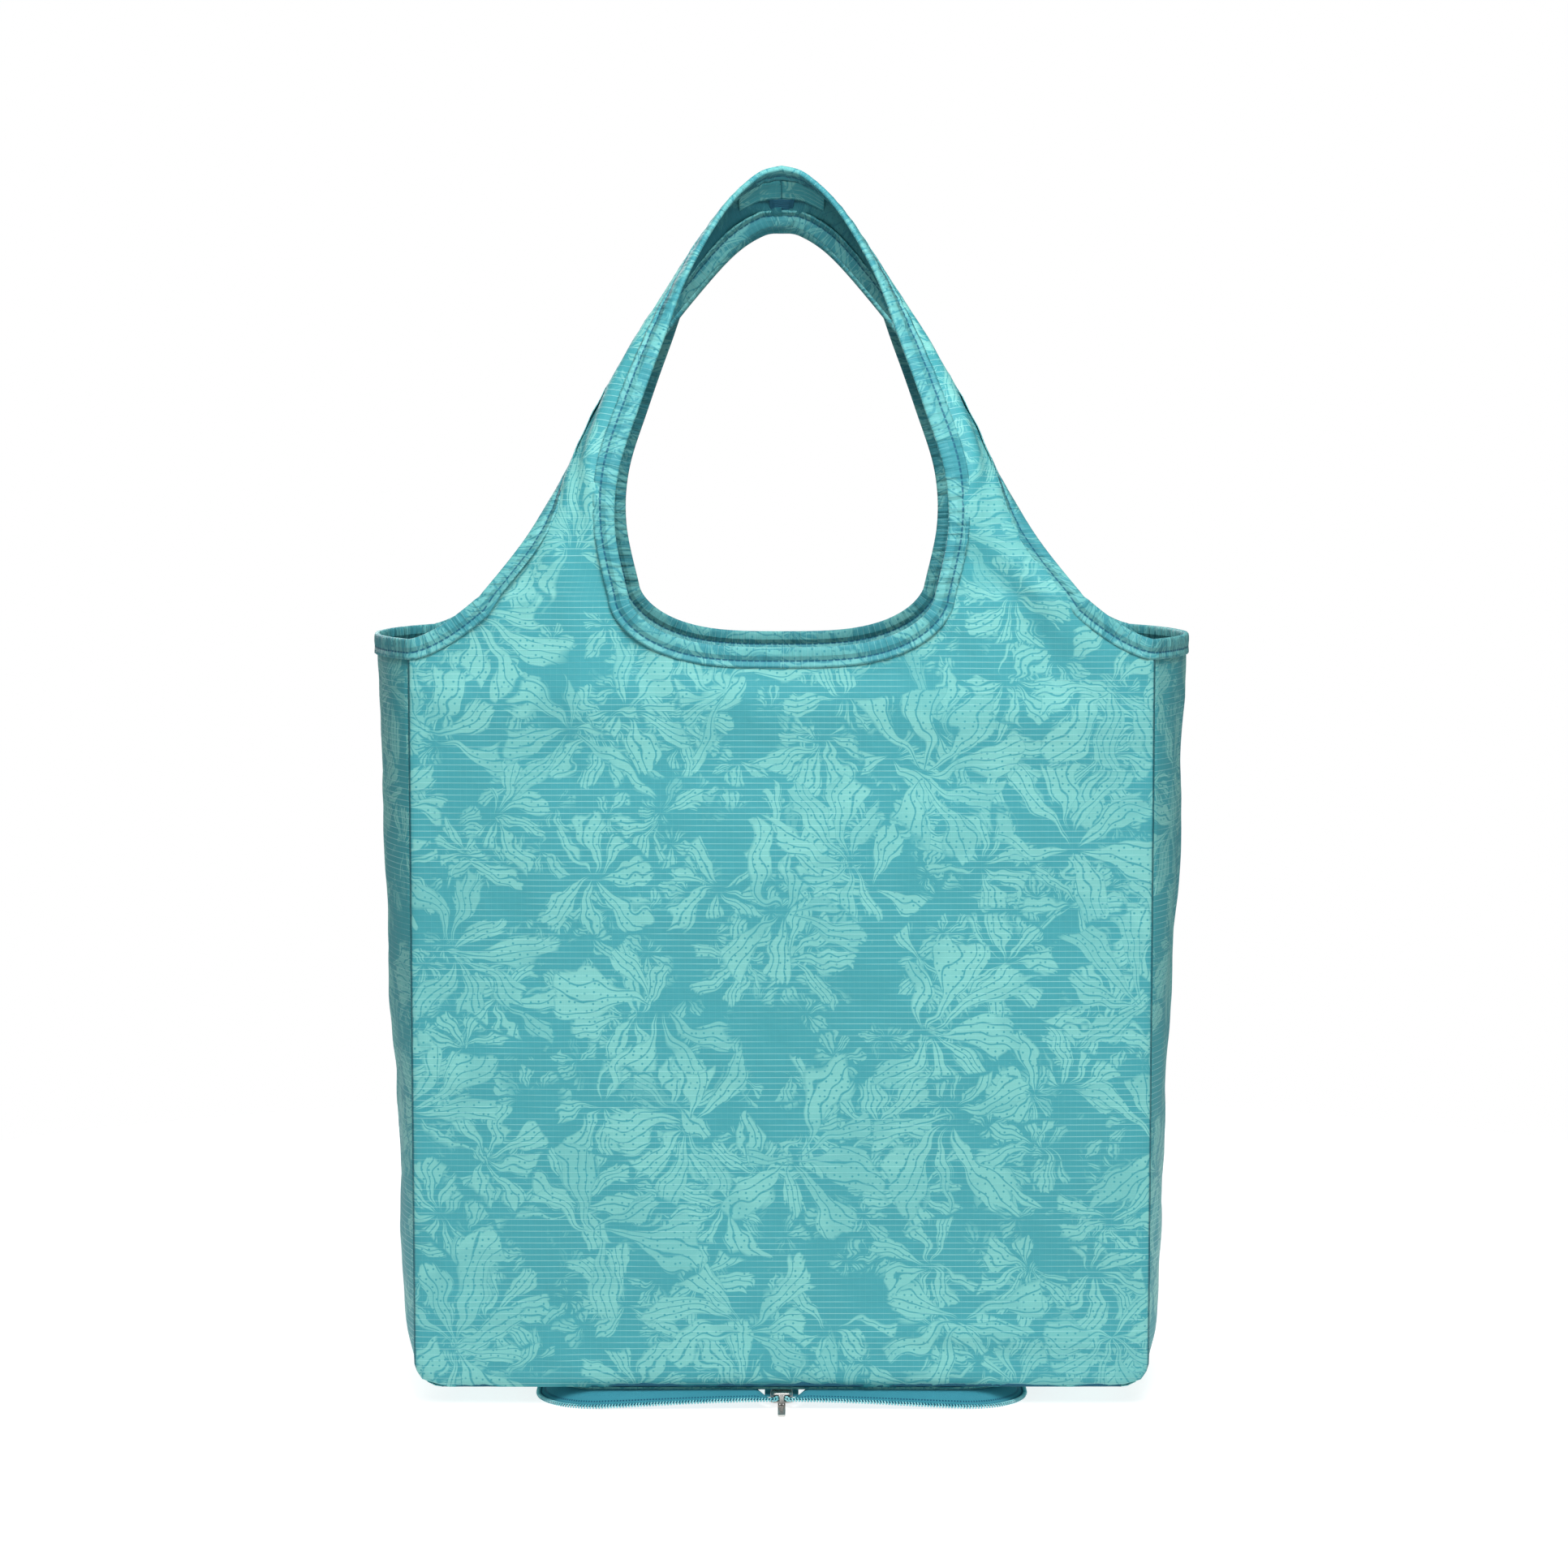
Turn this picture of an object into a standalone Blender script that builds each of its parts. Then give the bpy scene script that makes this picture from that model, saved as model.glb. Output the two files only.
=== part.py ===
"""Foldable tote bag with two strap handles, a zip-round pouch under its base and an open zip.

The bag stands upright. X runs to the right, the front panel faces -Y and Z points up.
The origin is on the ground under the middle of the whole object, pull included. The functions
below draw the bag about its own middle, and main moves it back by MIDDLE_Y at the end. All sizes
are in metres.
"""

import math

import bmesh
import bpy
from mathutils import Vector

# Clearances and cloth
GAP = 0.0003
CURVED_GAP = 0.0009
GROUND_GAP = 0.0002
CLOTH = 0.0008

# Steps of the curved pieces, shared where two pieces have to follow each other
STRAP_STEPS = 16
GUSSET_COLUMNS = 10
TAIL_STEPS = 6
TURN_STEPS = 5

# Bag body
PANEL_WIDTH = 0.370
BAG_DEPTH = 0.140
BASE_HEIGHT = 0.0101
HEM_RISE = 0.375
CORNER_RADIUS = 0.014
GUSSET_SWELL_TOP = 0.0215
GUSSET_SWELL_BASE = 0.0100

# Neckline and handles
NECK_RISE = 0.371
FOLD_RISE = 0.397
APEX_RISE = 0.6085
NECK_FOOT_HALF = 0.0765
NECK_HALF = 0.083
STRAP_FOOT_WIDTH = 0.0715
STRAP_WIDTH = 0.0380
APEX_DROOP = 44.5
APEX_CLEARANCE = 0.0058
BACK_HANDLE_DROP = 0.003
PATCH_LENGTH = 0.040
PATCH_WIDTH = 0.013
SEAM_ALLOWANCE = 0.009
BARTACK_WIDTH = 0.008
BARTACK_HEIGHT = 0.005
BARTACK_THICKNESS = 0.0004
LINING_THICKNESS = 0.0006
APEX_RUN = 0.112

# Bindings and inside seam tapes
BINDING_WIDTH = 0.0095
BINDING_WALL = 0.0005
TAPE_WIDTH = 0.008
TAPE_THICKNESS = 0.0012

# Pouch and zip
RING_WIDTH = 0.250
RING_DEPTH = 0.155
RING_CORNER = 0.034
POUCH_LAP = 0.0035
COIL_RADIUS = 0.0012
ZIP_TAPE_WIDTH = 0.011
ZIP_TAPE = 0.0004
TAIL_LENGTH = 0.0245
TAIL_TAPE_WIDTH = 0.0060
TURN_RADIUS = 0.003
TURN_TAPE_WIDTH = 0.00255
COIL_FALL = 0.040
POUCH_CLEARANCE = 0.0005
STOP_LENGTH = 0.0022

# Slider and pull
SLIDER_LENGTH = 0.0105
SLIDER_FRONT_WIDTH = 0.0112
SLIDER_BACK_WIDTH = 0.0104
SLIDER_PLATE = 0.0009
SLIDER_CHANNEL = 0.0033
SLIDER_FOOT = 0.0026
SLIDER_CHAMFER = 0.0018
SLIDER_EDGE = 0.00025
POST_WIDTH = 0.0020
POST_LENGTH = 0.0042
CROWN_LENGTH = 0.0068
CROWN_WIDTH = 0.0014
CROWN_WALL = 0.0006
CROWN_LEG = 0.0008
PULL_LENGTH = 0.023
PULL_WIDTH = 0.0038
PULL_THICKNESS = 0.0010
PULL_NOSE = 0.0007
PULL_TIP_GAP = 0.0001
EYE_LENGTH = 0.0050
EYE_CLEARANCE = 0.0004

# Places that follow from the sizes above
HEM_HEIGHT = BASE_HEIGHT + HEM_RISE
NECK_HEIGHT = BASE_HEIGHT + NECK_RISE
FOLD_HEIGHT = BASE_HEIGHT + FOLD_RISE
HANDLE_RISE = APEX_RISE - FOLD_RISE
WALL_Y = BAG_DEPTH / 2 + CLOTH / 2
WALL_X = PANEL_WIDTH / 2 - CLOTH / 2
APEX_SPACING = 2 * STRAP_WIDTH * math.cos(math.radians(APEX_DROOP)) + APEX_CLEARANCE
HANDLE_LEAN = WALL_Y - APEX_SPACING / 2
SIDE_FOOT = NECK_FOOT_HALF + STRAP_FOOT_WIDTH
TAPE_Y = BAG_DEPTH / 2 - GAP - TAPE_THICKNESS / 2
TAPE_X = PANEL_WIDTH / 2 - CORNER_RADIUS - GAP - TAPE_THICKNESS / 2
FLOOR_INSET = TAPE_THICKNESS / 2 + GAP
COIL_HEIGHT = SLIDER_FOOT + SLIDER_PLATE + SLIDER_CHANNEL / 2
SLIDER_TOP = SLIDER_FOOT + 2 * SLIDER_PLATE + SLIDER_CHANNEL
POUCH_HEIGHT = SLIDER_TOP + POUCH_CLEARANCE
RING_X = RING_WIDTH / 2 - COIL_RADIUS
RING_Y = RING_DEPTH / 2 - COIL_RADIUS
TAIL_X = POST_WIDTH / 2 + GAP + COIL_RADIUS
SLIDER_FRONT_Y = -RING_Y + TURN_RADIUS
SLIDER_Y = SLIDER_FRONT_Y + SLIDER_LENGTH / 2
MIDDLE_Y = (RING_DEPTH / 2 + SLIDER_Y - PULL_LENGTH + PULL_THICKNESS / 2) / 2

# Each row is one place up a handle: rise, spread and lean as shares of the handle's rise, the
# neck's half width and the handle's lean, then the strap's turn and droop in degrees, its
# width and the height of its crown.
HANDLE_ROWS = (
    (0.000, NECK_FOOT_HALF / NECK_HALF, 0.000, 0.0, 0.0, STRAP_FOOT_WIDTH, 0.000),
    (0.151, 1.000, 0.012, 10.5, 1.0, STRAP_WIDTH * 1.08, 0.003),
    (0.292, 0.982, 0.075, 36.0, 2.0, STRAP_WIDTH * 0.80, 0.009),
    (0.448, 0.855, 0.250, 52.0, 6.0, STRAP_WIDTH * 0.81, 0.009),
    (0.604, 0.711, 0.475, 70.0, 13.0, STRAP_WIDTH * 0.79, 0.008),
    (0.755, 0.566, 0.700, 94.0, 16.0, STRAP_WIDTH * 0.80, 0.006),
    (0.901, 0.349, 0.888, 98.0, 31.0, STRAP_WIDTH * 0.88, 0.006),
    (0.981, 0.145, 0.975, 95.0, 41.0, STRAP_WIDTH * 0.96, 0.005),
    (1.000, 0.000, 1.000, 90.0, APEX_DROOP, STRAP_WIDTH, 0.005),
)

PRINTED = ("printed_ripstop", (0.075, 0.430, 0.470), 0.55, 0.0)
BINDING = ("binding_ripstop", (0.060, 0.360, 0.400), 0.55, 0.0)
SEAM = ("seam_tape", (0.015, 0.110, 0.160), 0.70, 0.0)
ZIP = ("zip_tape", (0.110, 0.500, 0.580), 0.65, 0.0)
COIL = ("zip_coil", (0.090, 0.440, 0.520), 0.40, 0.0)
THREAD = ("thread", (0.010, 0.080, 0.120), 0.60, 0.0)
NICKEL = ("nickel", (0.620, 0.620, 0.620), 0.28, 1.0)


def paint(obj, finish):
    """Gives an object its material, made once for each finish."""
    name, colour, roughness, metallic = finish
    material = bpy.data.materials.get(name)
    if material is None:
        material = bpy.data.materials.new(name)
        material.use_nodes = True
        shader = material.node_tree.nodes["Principled BSDF"]
        shader.inputs["Base Color"].default_value = (*colour, 1.0)
        shader.inputs["Roughness"].default_value = roughness
        shader.inputs["Metallic"].default_value = metallic
    obj.data.materials.append(material)


def place(name, shape, finish, origin=(0, 0, 0), smooth=False):
    """Makes an object of a bmesh, with the object's origin at origin."""
    bmesh.ops.remove_doubles(shape, verts=shape.verts, dist=0.00001)
    bmesh.ops.recalc_face_normals(shape, faces=shape.faces)
    bmesh.ops.translate(shape, verts=shape.verts, vec=-Vector(origin))
    mesh = bpy.data.meshes.new(name)
    shape.to_mesh(mesh)
    shape.free()
    obj = bpy.data.objects.new(name, mesh)
    obj.location = origin
    bpy.context.collection.objects.link(obj)
    if smooth:
        mesh.shade_smooth()
        mesh.set_sharp_from_angle(angle=math.radians(40))
    paint(obj, finish)
    return obj


def thicken(obj, thickness):
    """Gives a sheet its wall, half on each side of the drawn surface."""
    wall = obj.modifiers.new("wall", "SOLIDIFY")
    wall.thickness = thickness
    wall.offset = 0.0
    wall.use_even_offset = True
    return obj


def cloth(name, point, across, along, finish, origin=(0, 0, 0), thickness=CLOTH):
    """A sheet whose middle surface is point(u, v), with u across and v along, both 0 to 1."""
    shape = bmesh.new()
    bmesh.ops.create_grid(shape, x_segments=across, y_segments=along, size=0.5)
    for vert in shape.verts:
        vert.co = point(vert.co.x + 0.5, vert.co.y + 0.5)
    bmesh.ops.triangulate(shape, faces=shape.faces, quad_method="SHORT_EDGE")
    return thicken(place(name, shape, finish, origin), thickness)


def prism(outline, low, high):
    """An upright bmesh prism over an XY outline."""
    shape = bmesh.new()
    face = shape.faces.new([shape.verts.new((x, y, low)) for x, y in outline])
    top = bmesh.ops.extrude_face_region(shape, geom=[face])["geom"]
    verts = [v for v in top if isinstance(v, bmesh.types.BMVert)]
    bmesh.ops.translate(shape, verts=verts, vec=(0, 0, high - low))
    return shape


def box(low, high):
    """A bmesh box between two corners."""
    outline = [(low[0], low[1]), (high[0], low[1]), (high[0], high[1]), (low[0], high[1])]
    return prism(outline, low[2], high[2])


def flat_station(centre, side, normal):
    """A station of a sweep whose outline lies straight along side and normal."""
    return lambda a, b: centre + side * a + normal * b


def sweep(name, stations, profile, finish, origin=(0, 0, 0), smooth=False):
    """A solid drawn through stations, each of which gives the point at (a, b) of an outline.

    profile(k) is the closed outline at station k.
    """
    shape = bmesh.new()
    rings = []
    for k, station in enumerate(stations):
        rings.append([shape.verts.new(station(a, b)) for a, b in profile(k)])
    count = len(rings[0])
    for first, second in zip(rings, rings[1:]):
        for i in range(count):
            j = (i + 1) % count
            shape.faces.new((first[i], first[j], second[j], second[i]))
    bmesh.ops.triangulate(shape, faces=shape.faces, quad_method="SHORT_EDGE")
    shape.faces.new(rings[0])
    shape.faces.new(rings[-1])
    return place(name, shape, finish, origin, smooth)


def rectangle(near, far, low, high):
    return ((near, low), (far, low), (far, high), (near, high))


def channel(clear=GAP, parts=1):
    """The folded outline of a binding: two walls round a cloth edge, open towards the cloth."""
    inner = CLOTH / 2 + clear
    outer = inner + BINDING_WALL
    back = -clear - BINDING_WALL
    mouth = BINDING_WIDTH + back
    outward = [blend(back, mouth, s) for s in steps(parts)]
    inward = [blend(mouth, -clear, s) for s in steps(parts)]
    lower = [(a, -outer) for a in outward] + [(a, -inner) for a in inward]
    upper = [(a, inner) for a in reversed(inward)] + [(a, outer) for a in reversed(outward)]
    return lower + upper


def steps(count):
    return [k / count for k in range(count + 1)]


def blend(a, b, share):
    return a + (b - a) * share


def ease(share):
    share = min(1.0, max(0.0, share))
    return share * share * (3 - 2 * share)


# ---------------------------------------------------------------- body outlines


def neckline(share):
    """Half of the neck's low curve in the panel's plane, from its middle (0) to the fold (1)."""
    turn = share * math.pi / 2
    x = NECK_FOOT_HALF * math.sin(turn) ** 0.625
    z = NECK_HEIGHT + (FOLD_HEIGHT - NECK_HEIGHT) * (1 - math.cos(turn) ** 1.25)
    return x, z


def side_edge(share):
    """The side opening's edge in the panel's plane, from the fold (0) to the hem corner (1)."""
    x = blend(SIDE_FOOT, WALL_X, share)
    return x, blend(HEM_HEIGHT, FOLD_HEIGHT, (1 - share) ** 1.5)


def corner_arc(count):
    """The rounded lower corner of the body in the XZ plane, from the base up to the side."""
    radius = CORNER_RADIUS - CLOTH / 2
    centre_x = PANEL_WIDTH / 2 - CORNER_RADIUS
    centre_z = BASE_HEIGHT + CORNER_RADIUS
    turns = [math.pi / 2 * s for s in steps(count)]
    return [(centre_x + radius * math.sin(t), centre_z - radius * math.cos(t)) for t in turns]


def panel(name, facing):
    """A front or back panel up to the handles' fold, with the neck cut out."""
    half = [(x + CLOTH / 2 * math.sin(a), z - CLOTH / 2 * math.cos(a)) for (x, z), a in
            zip(corner_arc(5), [math.pi / 2 * s for s in steps(5)])]
    half += [side_edge(1 - s) for s in steps(8)]
    half[-1] = (SIDE_FOOT, FOLD_HEIGHT - GAP / 2)
    half += [(NECK_FOOT_HALF, FOLD_HEIGHT - GAP / 2)]
    half += [neckline(1 - s) for s in steps(10)[1:]]
    outline = half + [(-x, z) for x, z in reversed(half[:-1])]
    shape = bmesh.new()
    y = facing * WALL_Y
    shape.faces.new([shape.verts.new((x, y, z)) for x, z in outline])
    return thicken(place(name, shape, PRINTED), CLOTH)


def swell(height, across):
    """How far a gusset stands out past its seams, by height and by place across its depth."""
    share = (height - BASE_HEIGHT) / HEM_RISE
    top = blend(GUSSET_SWELL_BASE, GUSSET_SWELL_TOP, ease(share))
    rise = ease((height - BASE_HEIGHT) / (2 * CORNER_RADIUS))
    return top * rise * (1 - across * across)


def side_path(share):
    """The gusset's run in the XZ plane, from the base seam (0) up to the hem (1)."""
    radius = CORNER_RADIUS - CLOTH / 2
    arc = radius * math.pi / 2
    start_z = BASE_HEIGHT + CORNER_RADIUS
    total = arc + HEM_HEIGHT - GAP - start_z
    run = share * total
    if run <= arc:
        turn = run / radius
        centre_x = PANEL_WIDTH / 2 - CORNER_RADIUS
        return centre_x + radius * math.sin(turn), start_z - radius * math.cos(turn)
    return WALL_X, start_z + run - arc


def gusset(name, side):
    """A side gusset, swelling outwards between its seams and curling in under the corner."""
    half = BAG_DEPTH / 2 - GAP

    def point(u, v):
        across = 2 * u - 1
        x, z = side_path(v ** 1.6)
        y = across * half
        return Vector((side * (x + swell(z, y / WALL_Y)), y, z))

    return cloth(name, point, GUSSET_COLUMNS, 14, PRINTED)


def base_panel():
    """The floor of the bag, inside the ring of tapes that stand round it."""
    half_x = TAPE_X - FLOOR_INSET
    half_y = TAPE_Y - FLOOR_INSET
    low = (-half_x, -half_y, BASE_HEIGHT)
    return place("base_panel", box(low, (half_x, half_y, BASE_HEIGHT + CLOTH)), PRINTED)


# ---------------------------------------------------------------- bindings of the body


def neck_binding(name, facing):
    """The lower part of a neck's binding, a U round the panel's neckline."""
    places = [-s for s in reversed(steps(14)[1:])] + steps(14)
    stations = []
    for share in places:
        sign = math.copysign(1, share)
        x, z = neckline(abs(share))
        before = neckline(max(0.0, abs(share) - 0.02))
        after = neckline(min(1.0, abs(share) + 0.02))
        run = Vector((after[0] - before[0], 0, after[1] - before[1])).normalized()
        if abs(share) < 0.001:
            run = Vector((1, 0, 0))
        if abs(share) > 0.999:
            run = Vector((0, 0, 1))
            z -= GAP / 2
        inward = Vector((sign * run.z, 0, -run.x))
        centre = Vector((sign * x, facing * WALL_Y, z))
        stations.append(flat_station(centre, inward, Vector((0, facing, 0))))
    return sweep(name, stations, lambda k: channel(), BINDING)


def side_binding(name, side):
    """A side opening's binding: down one panel's edge, over the gusset and up the other."""
    half = []
    for share in steps(8):
        x, z = side_edge(share)
        ahead = side_edge(min(1.0, share + 0.01))
        behind = side_edge(max(0.0, share - 0.01))
        run = Vector((ahead[0] - behind[0], 0, ahead[1] - behind[1])).normalized()
        inward = Vector((run.z, 0, -run.x))
        normal = Vector((0, -1, 0))
        if share == 0:
            z -= GAP / 2
            inward = Vector((-1, 0, 0))
        if share == 1:
            inward = Vector((0, 0, -1))
            normal = Vector((math.sin(math.radians(32)), -1, 0))
        half.append((Vector((x, -WALL_Y, z)), inward, normal))
    for share in steps(GUSSET_COLUMNS // 2)[1:]:
        y = (share - 1) * (BAG_DEPTH / 2 - GAP)
        x = WALL_X + swell(HEM_HEIGHT, y / WALL_Y)
        slope = -2 * y * swell(HEM_HEIGHT, 0) / WALL_Y ** 2
        normal = Vector((1, -slope, 0)).normalized()
        centre = Vector((x, y, HEM_HEIGHT))
        half.append((centre, Vector((0, 0, -1)), normal))
    flip = Vector((1, -1, 1))
    half += [(c * flip, s * flip, n * flip) for c, s, n in reversed(half[:-1])]
    turn = Vector((side, 1, 1))
    stations = [flat_station(c * turn, s * turn, n * turn) for c, s, n in half]
    return sweep(name, stations, lambda k: channel(), BINDING)


# ---------------------------------------------------------------- inside seam tapes


def seam_tapes():
    """The tapes that bind the raw seam edges inside the bag: upright ones, and four round its floor."""
    near = CLOTH / 2 + 3 * GAP
    low_z = BASE_HEIGHT + CORNER_RADIUS + GAP
    high_z = HEM_HEIGHT - BINDING_WIDTH - GAP
    half = TAPE_THICKNESS / 2
    top = BASE_HEIGHT + TAPE_WIDTH
    end_x = TAPE_X + half
    end_y = TAPE_Y - FLOOR_INSET
    for facing, front in ((-1, "front"), (1, "back")):
        y = facing * TAPE_Y
        for side, hand in ((-1, "left"), (1, "right")):
            xs = sorted((side * (WALL_X - near), side * (WALL_X - near - TAPE_WIDTH)))
            shape = box((xs[0], y - half, low_z), (xs[1], y + half, high_z))
            place(f"{front}_{hand}_seam_tape", shape, SEAM)
        shape = box((-end_x, y - half, BASE_HEIGHT), (end_x, y + half, top))
        place(f"{front}_base_seam_tape", shape, SEAM)
    for side, hand in ((-1, "left"), (1, "right")):
        x = side * TAPE_X
        shape = box((x - half, -end_y, BASE_HEIGHT), (x + half, end_y, top))
        place(f"{hand}_base_seam_tape", shape, SEAM)


# ---------------------------------------------------------------- handles


def handle_row(share):
    """The handle's row at a place from the fold (0) to the apex (1), drawn smoothly."""
    last = len(HANDLE_ROWS) - 1
    at = share * last
    k = min(int(at), last - 1)
    t = at - k
    rows = [HANDLE_ROWS[min(last, max(0, k + d))] for d in (-1, 0, 1, 2)]
    found = []
    for a, b, c, d in zip(*rows):
        curve = 2 * b + (c - a) * t + (2 * a - 5 * b + 4 * c - d) * t * t
        found.append((curve + (3 * b - a - 3 * c + d) * t ** 3) / 2)
    return found


def strap_point(share, across, side, facing, drop):
    """A point of a strap's middle surface: up the strap by share, across from the neck edge."""
    rise, spread, lean, turn, droop, width, crown = handle_row(share)
    turn, droop = math.radians(turn), math.radians(droop)
    neck = Vector((spread * NECK_HALF, -WALL_Y + lean * HANDLE_LEAN, 0))
    neck.z = FOLD_HEIGHT + GAP / 2 + rise * (HANDLE_RISE - drop)
    reach = Vector((math.cos(turn) * math.cos(droop), math.sin(turn) * math.cos(droop), 0))
    reach.z = -math.sin(droop)
    out = Vector((math.sin(turn), -math.cos(turn) * (1 - share), share)).normalized()
    out -= reach * out.dot(reach)
    point = neck + reach * width * across + out.normalized() * crown * 4 * across * (1 - across)
    point.x = max(point.x, 0.0) + GAP / 2
    return Vector((side * point.x, -facing * point.y, point.z))


def strap_offset(share, across, lift, side, facing, drop):
    """A point that stands off a strap's middle surface by lift, outwards if it is positive."""
    step = 0.004
    centre = strap_point(share, across, side, facing, drop)
    over = strap_point(share, across + step, side, facing, drop)
    run = over - strap_point(share, across - step, side, facing, drop)
    ahead = strap_point(min(1.0, share + step), across, side, facing, drop)
    climb = ahead - strap_point(max(0.0, share - step), across, side, facing, drop)
    if share > 0.999:
        climb = Vector((-side, 0, 0))
        run.x = 0.0
    if share < 0.001:
        climb = Vector((0, 0, 1))
    normal = run.cross(climb).normalized() * side * -facing
    return centre + normal * lift


def handle_places():
    """Places from the fold on one side over the apex to the fold on the other."""
    up = [(share, 1) for share in steps(STRAP_STEPS)]
    return up + [(share, -1) for share, _ in reversed(up[:-1])]


def strap_length(share):
    """The strap's width at a place, measured over its crown."""
    width, crown = handle_row(share)[5:]
    return width * (1 + 8 / 3 * (crown / width) ** 2)


def edge_binding(name, far_edge, facing, drop, origin):
    """The binding of a handle's neck edge, or of its far side edge, over the handle's apex."""
    stations = []
    for share, side in handle_places():

        def at(a, b, share=share, side=side):
            across = a / strap_length(share)
            across = 1 - across if far_edge else across
            point = strap_offset(share, across, b, side, facing, drop)
            if share > 0.999:
                point.x = 0.0
            return point

        stations.append(at)
    return sweep(name, stations, lambda k: channel(CURVED_GAP, 3), BINDING, origin)


def lining_strip(name, reach, near, far, facing, drop, finish, origin):
    """A patch under a handle's apex: reach to each side, from near to far across the strap."""
    clear = CLOTH / 2 + GAP + LINING_THICKNESS / 2

    def point(u, v):
        along = (2 * u - 1) * reach
        side = 1 if along >= 0 else -1
        share = 1 - abs(along) / APEX_RUN
        across = blend(near, far, v)
        point = strap_offset(share, across, -clear, side, facing, drop)
        if abs(along) < 0.0001:
            point.x = 0.0
        return point

    return cloth(name, point, 6, 3, finish, origin, LINING_THICKNESS)


def handle(front, facing, drop):
    """One handle: two straps, their bindings and what is sewn at the apex."""
    hinge_y = WALL_Y + CLOTH / 2 + CURVED_GAP + BINDING_WALL + GAP
    hinge = (0, facing * hinge_y, FOLD_HEIGHT)
    trim = (BINDING_WIDTH - GAP) / STRAP_WIDTH
    for side, hand in ((-1, "left"), (1, "right")):
        cloth(
            f"{front}_{hand}_strap",
            lambda u, v: strap_point(v, u, side, facing, drop),
            10, STRAP_STEPS, PRINTED, hinge,
        )
    edge_binding(f"{front}_handle_neck_binding", False, facing, drop, hinge)
    edge_binding(f"{front}_handle_side_binding", True, facing, drop, hinge)
    patch_end = trim + PATCH_WIDTH / STRAP_WIDTH
    half = PATCH_LENGTH / 2
    lining_strip(f"{front}_apex_patch", half, trim, patch_end, facing, drop, PRINTED, hinge)
    low, high = patch_end + GAP / STRAP_WIDTH, 1 - trim
    lap = SEAM_ALLOWANCE / 2
    lining_strip(f"{front}_apex_seam", lap, low, high, facing, drop, SEAM, hinge)
    lift = CLOTH / 2 + CURVED_GAP + GAP + BINDING_WALL
    tack = rectangle(GAP, GAP + BARTACK_HEIGHT, lift, lift + BARTACK_THICKNESS)
    ends = []
    for x in (-BARTACK_WIDTH / 2, BARTACK_WIDTH / 2):

        def at(a, b, x=x):
            point = strap_offset(1.0, a / STRAP_WIDTH, b, 1, facing, drop)
            return Vector((x, point.y, point.z))

        ends.append(at)
    sweep(f"{front}_bartack", ends, lambda k: tack, THREAD, hinge)


# ---------------------------------------------------------------- pouch and zip


def ring_stations(hand):
    """Half of the zip's run: out of the tail, round the turn and half way round the pouch.

    Each station is a centre, the direction from the coil into its tape and the distance run.
    """
    radius = RING_CORNER - COIL_RADIUS
    tail_back = SLIDER_FRONT_Y + TAIL_LENGTH
    marks = []
    for share in steps(TAIL_STEPS):
        y = blend(tail_back, SLIDER_FRONT_Y, share)
        marks.append(((TAIL_X, y), (1, 0)))
    centre = (TAIL_X + TURN_RADIUS, SLIDER_FRONT_Y)
    for share in steps(TURN_STEPS)[1:]:
        turn = math.pi / 2 * share
        at = (centre[0] - TURN_RADIUS * math.cos(turn), centre[1] - TURN_RADIUS * math.sin(turn))
        marks.append((at, (math.cos(turn), math.sin(turn))))
    straight = RING_X - radius
    for share in steps(7)[1:]:
        marks.append(((blend(centre[0], straight, share), -RING_Y), (0, 1)))
    for share in steps(8)[1:]:
        turn = math.pi / 2 * share
        at = (straight + radius * math.sin(turn), -RING_Y + radius - radius * math.cos(turn))
        marks.append((at, (-math.sin(turn), math.cos(turn))))
    for share in steps(3)[1:]:
        marks.append(((RING_X, blend(-RING_Y + radius, RING_Y - radius, share)), (-1, 0)))
    for share in steps(8)[1:]:
        turn = math.pi / 2 * share
        at = (straight + radius * math.cos(turn), RING_Y - radius + radius * math.sin(turn))
        marks.append((at, (-math.cos(turn), -math.sin(turn))))
    for share in steps(5)[1:]:
        marks.append(((blend(straight, 4 * STOP_LENGTH, share), RING_Y), (0, -1)))
    return [((hand * x, y), (hand * a, b)) for (x, y), (a, b) in marks]


def coil_height(x, y):
    """The coil's height: level with the slider's throat there, and on the ground further out."""
    away = math.hypot(x, y - SLIDER_FRONT_Y) - 2 * TURN_RADIUS
    in_tail = y > SLIDER_FRONT_Y and x < 2 * TAIL_X
    return COIL_HEIGHT if in_tail else blend(COIL_HEIGHT, COIL_RADIUS, ease(away / COIL_FALL))


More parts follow.
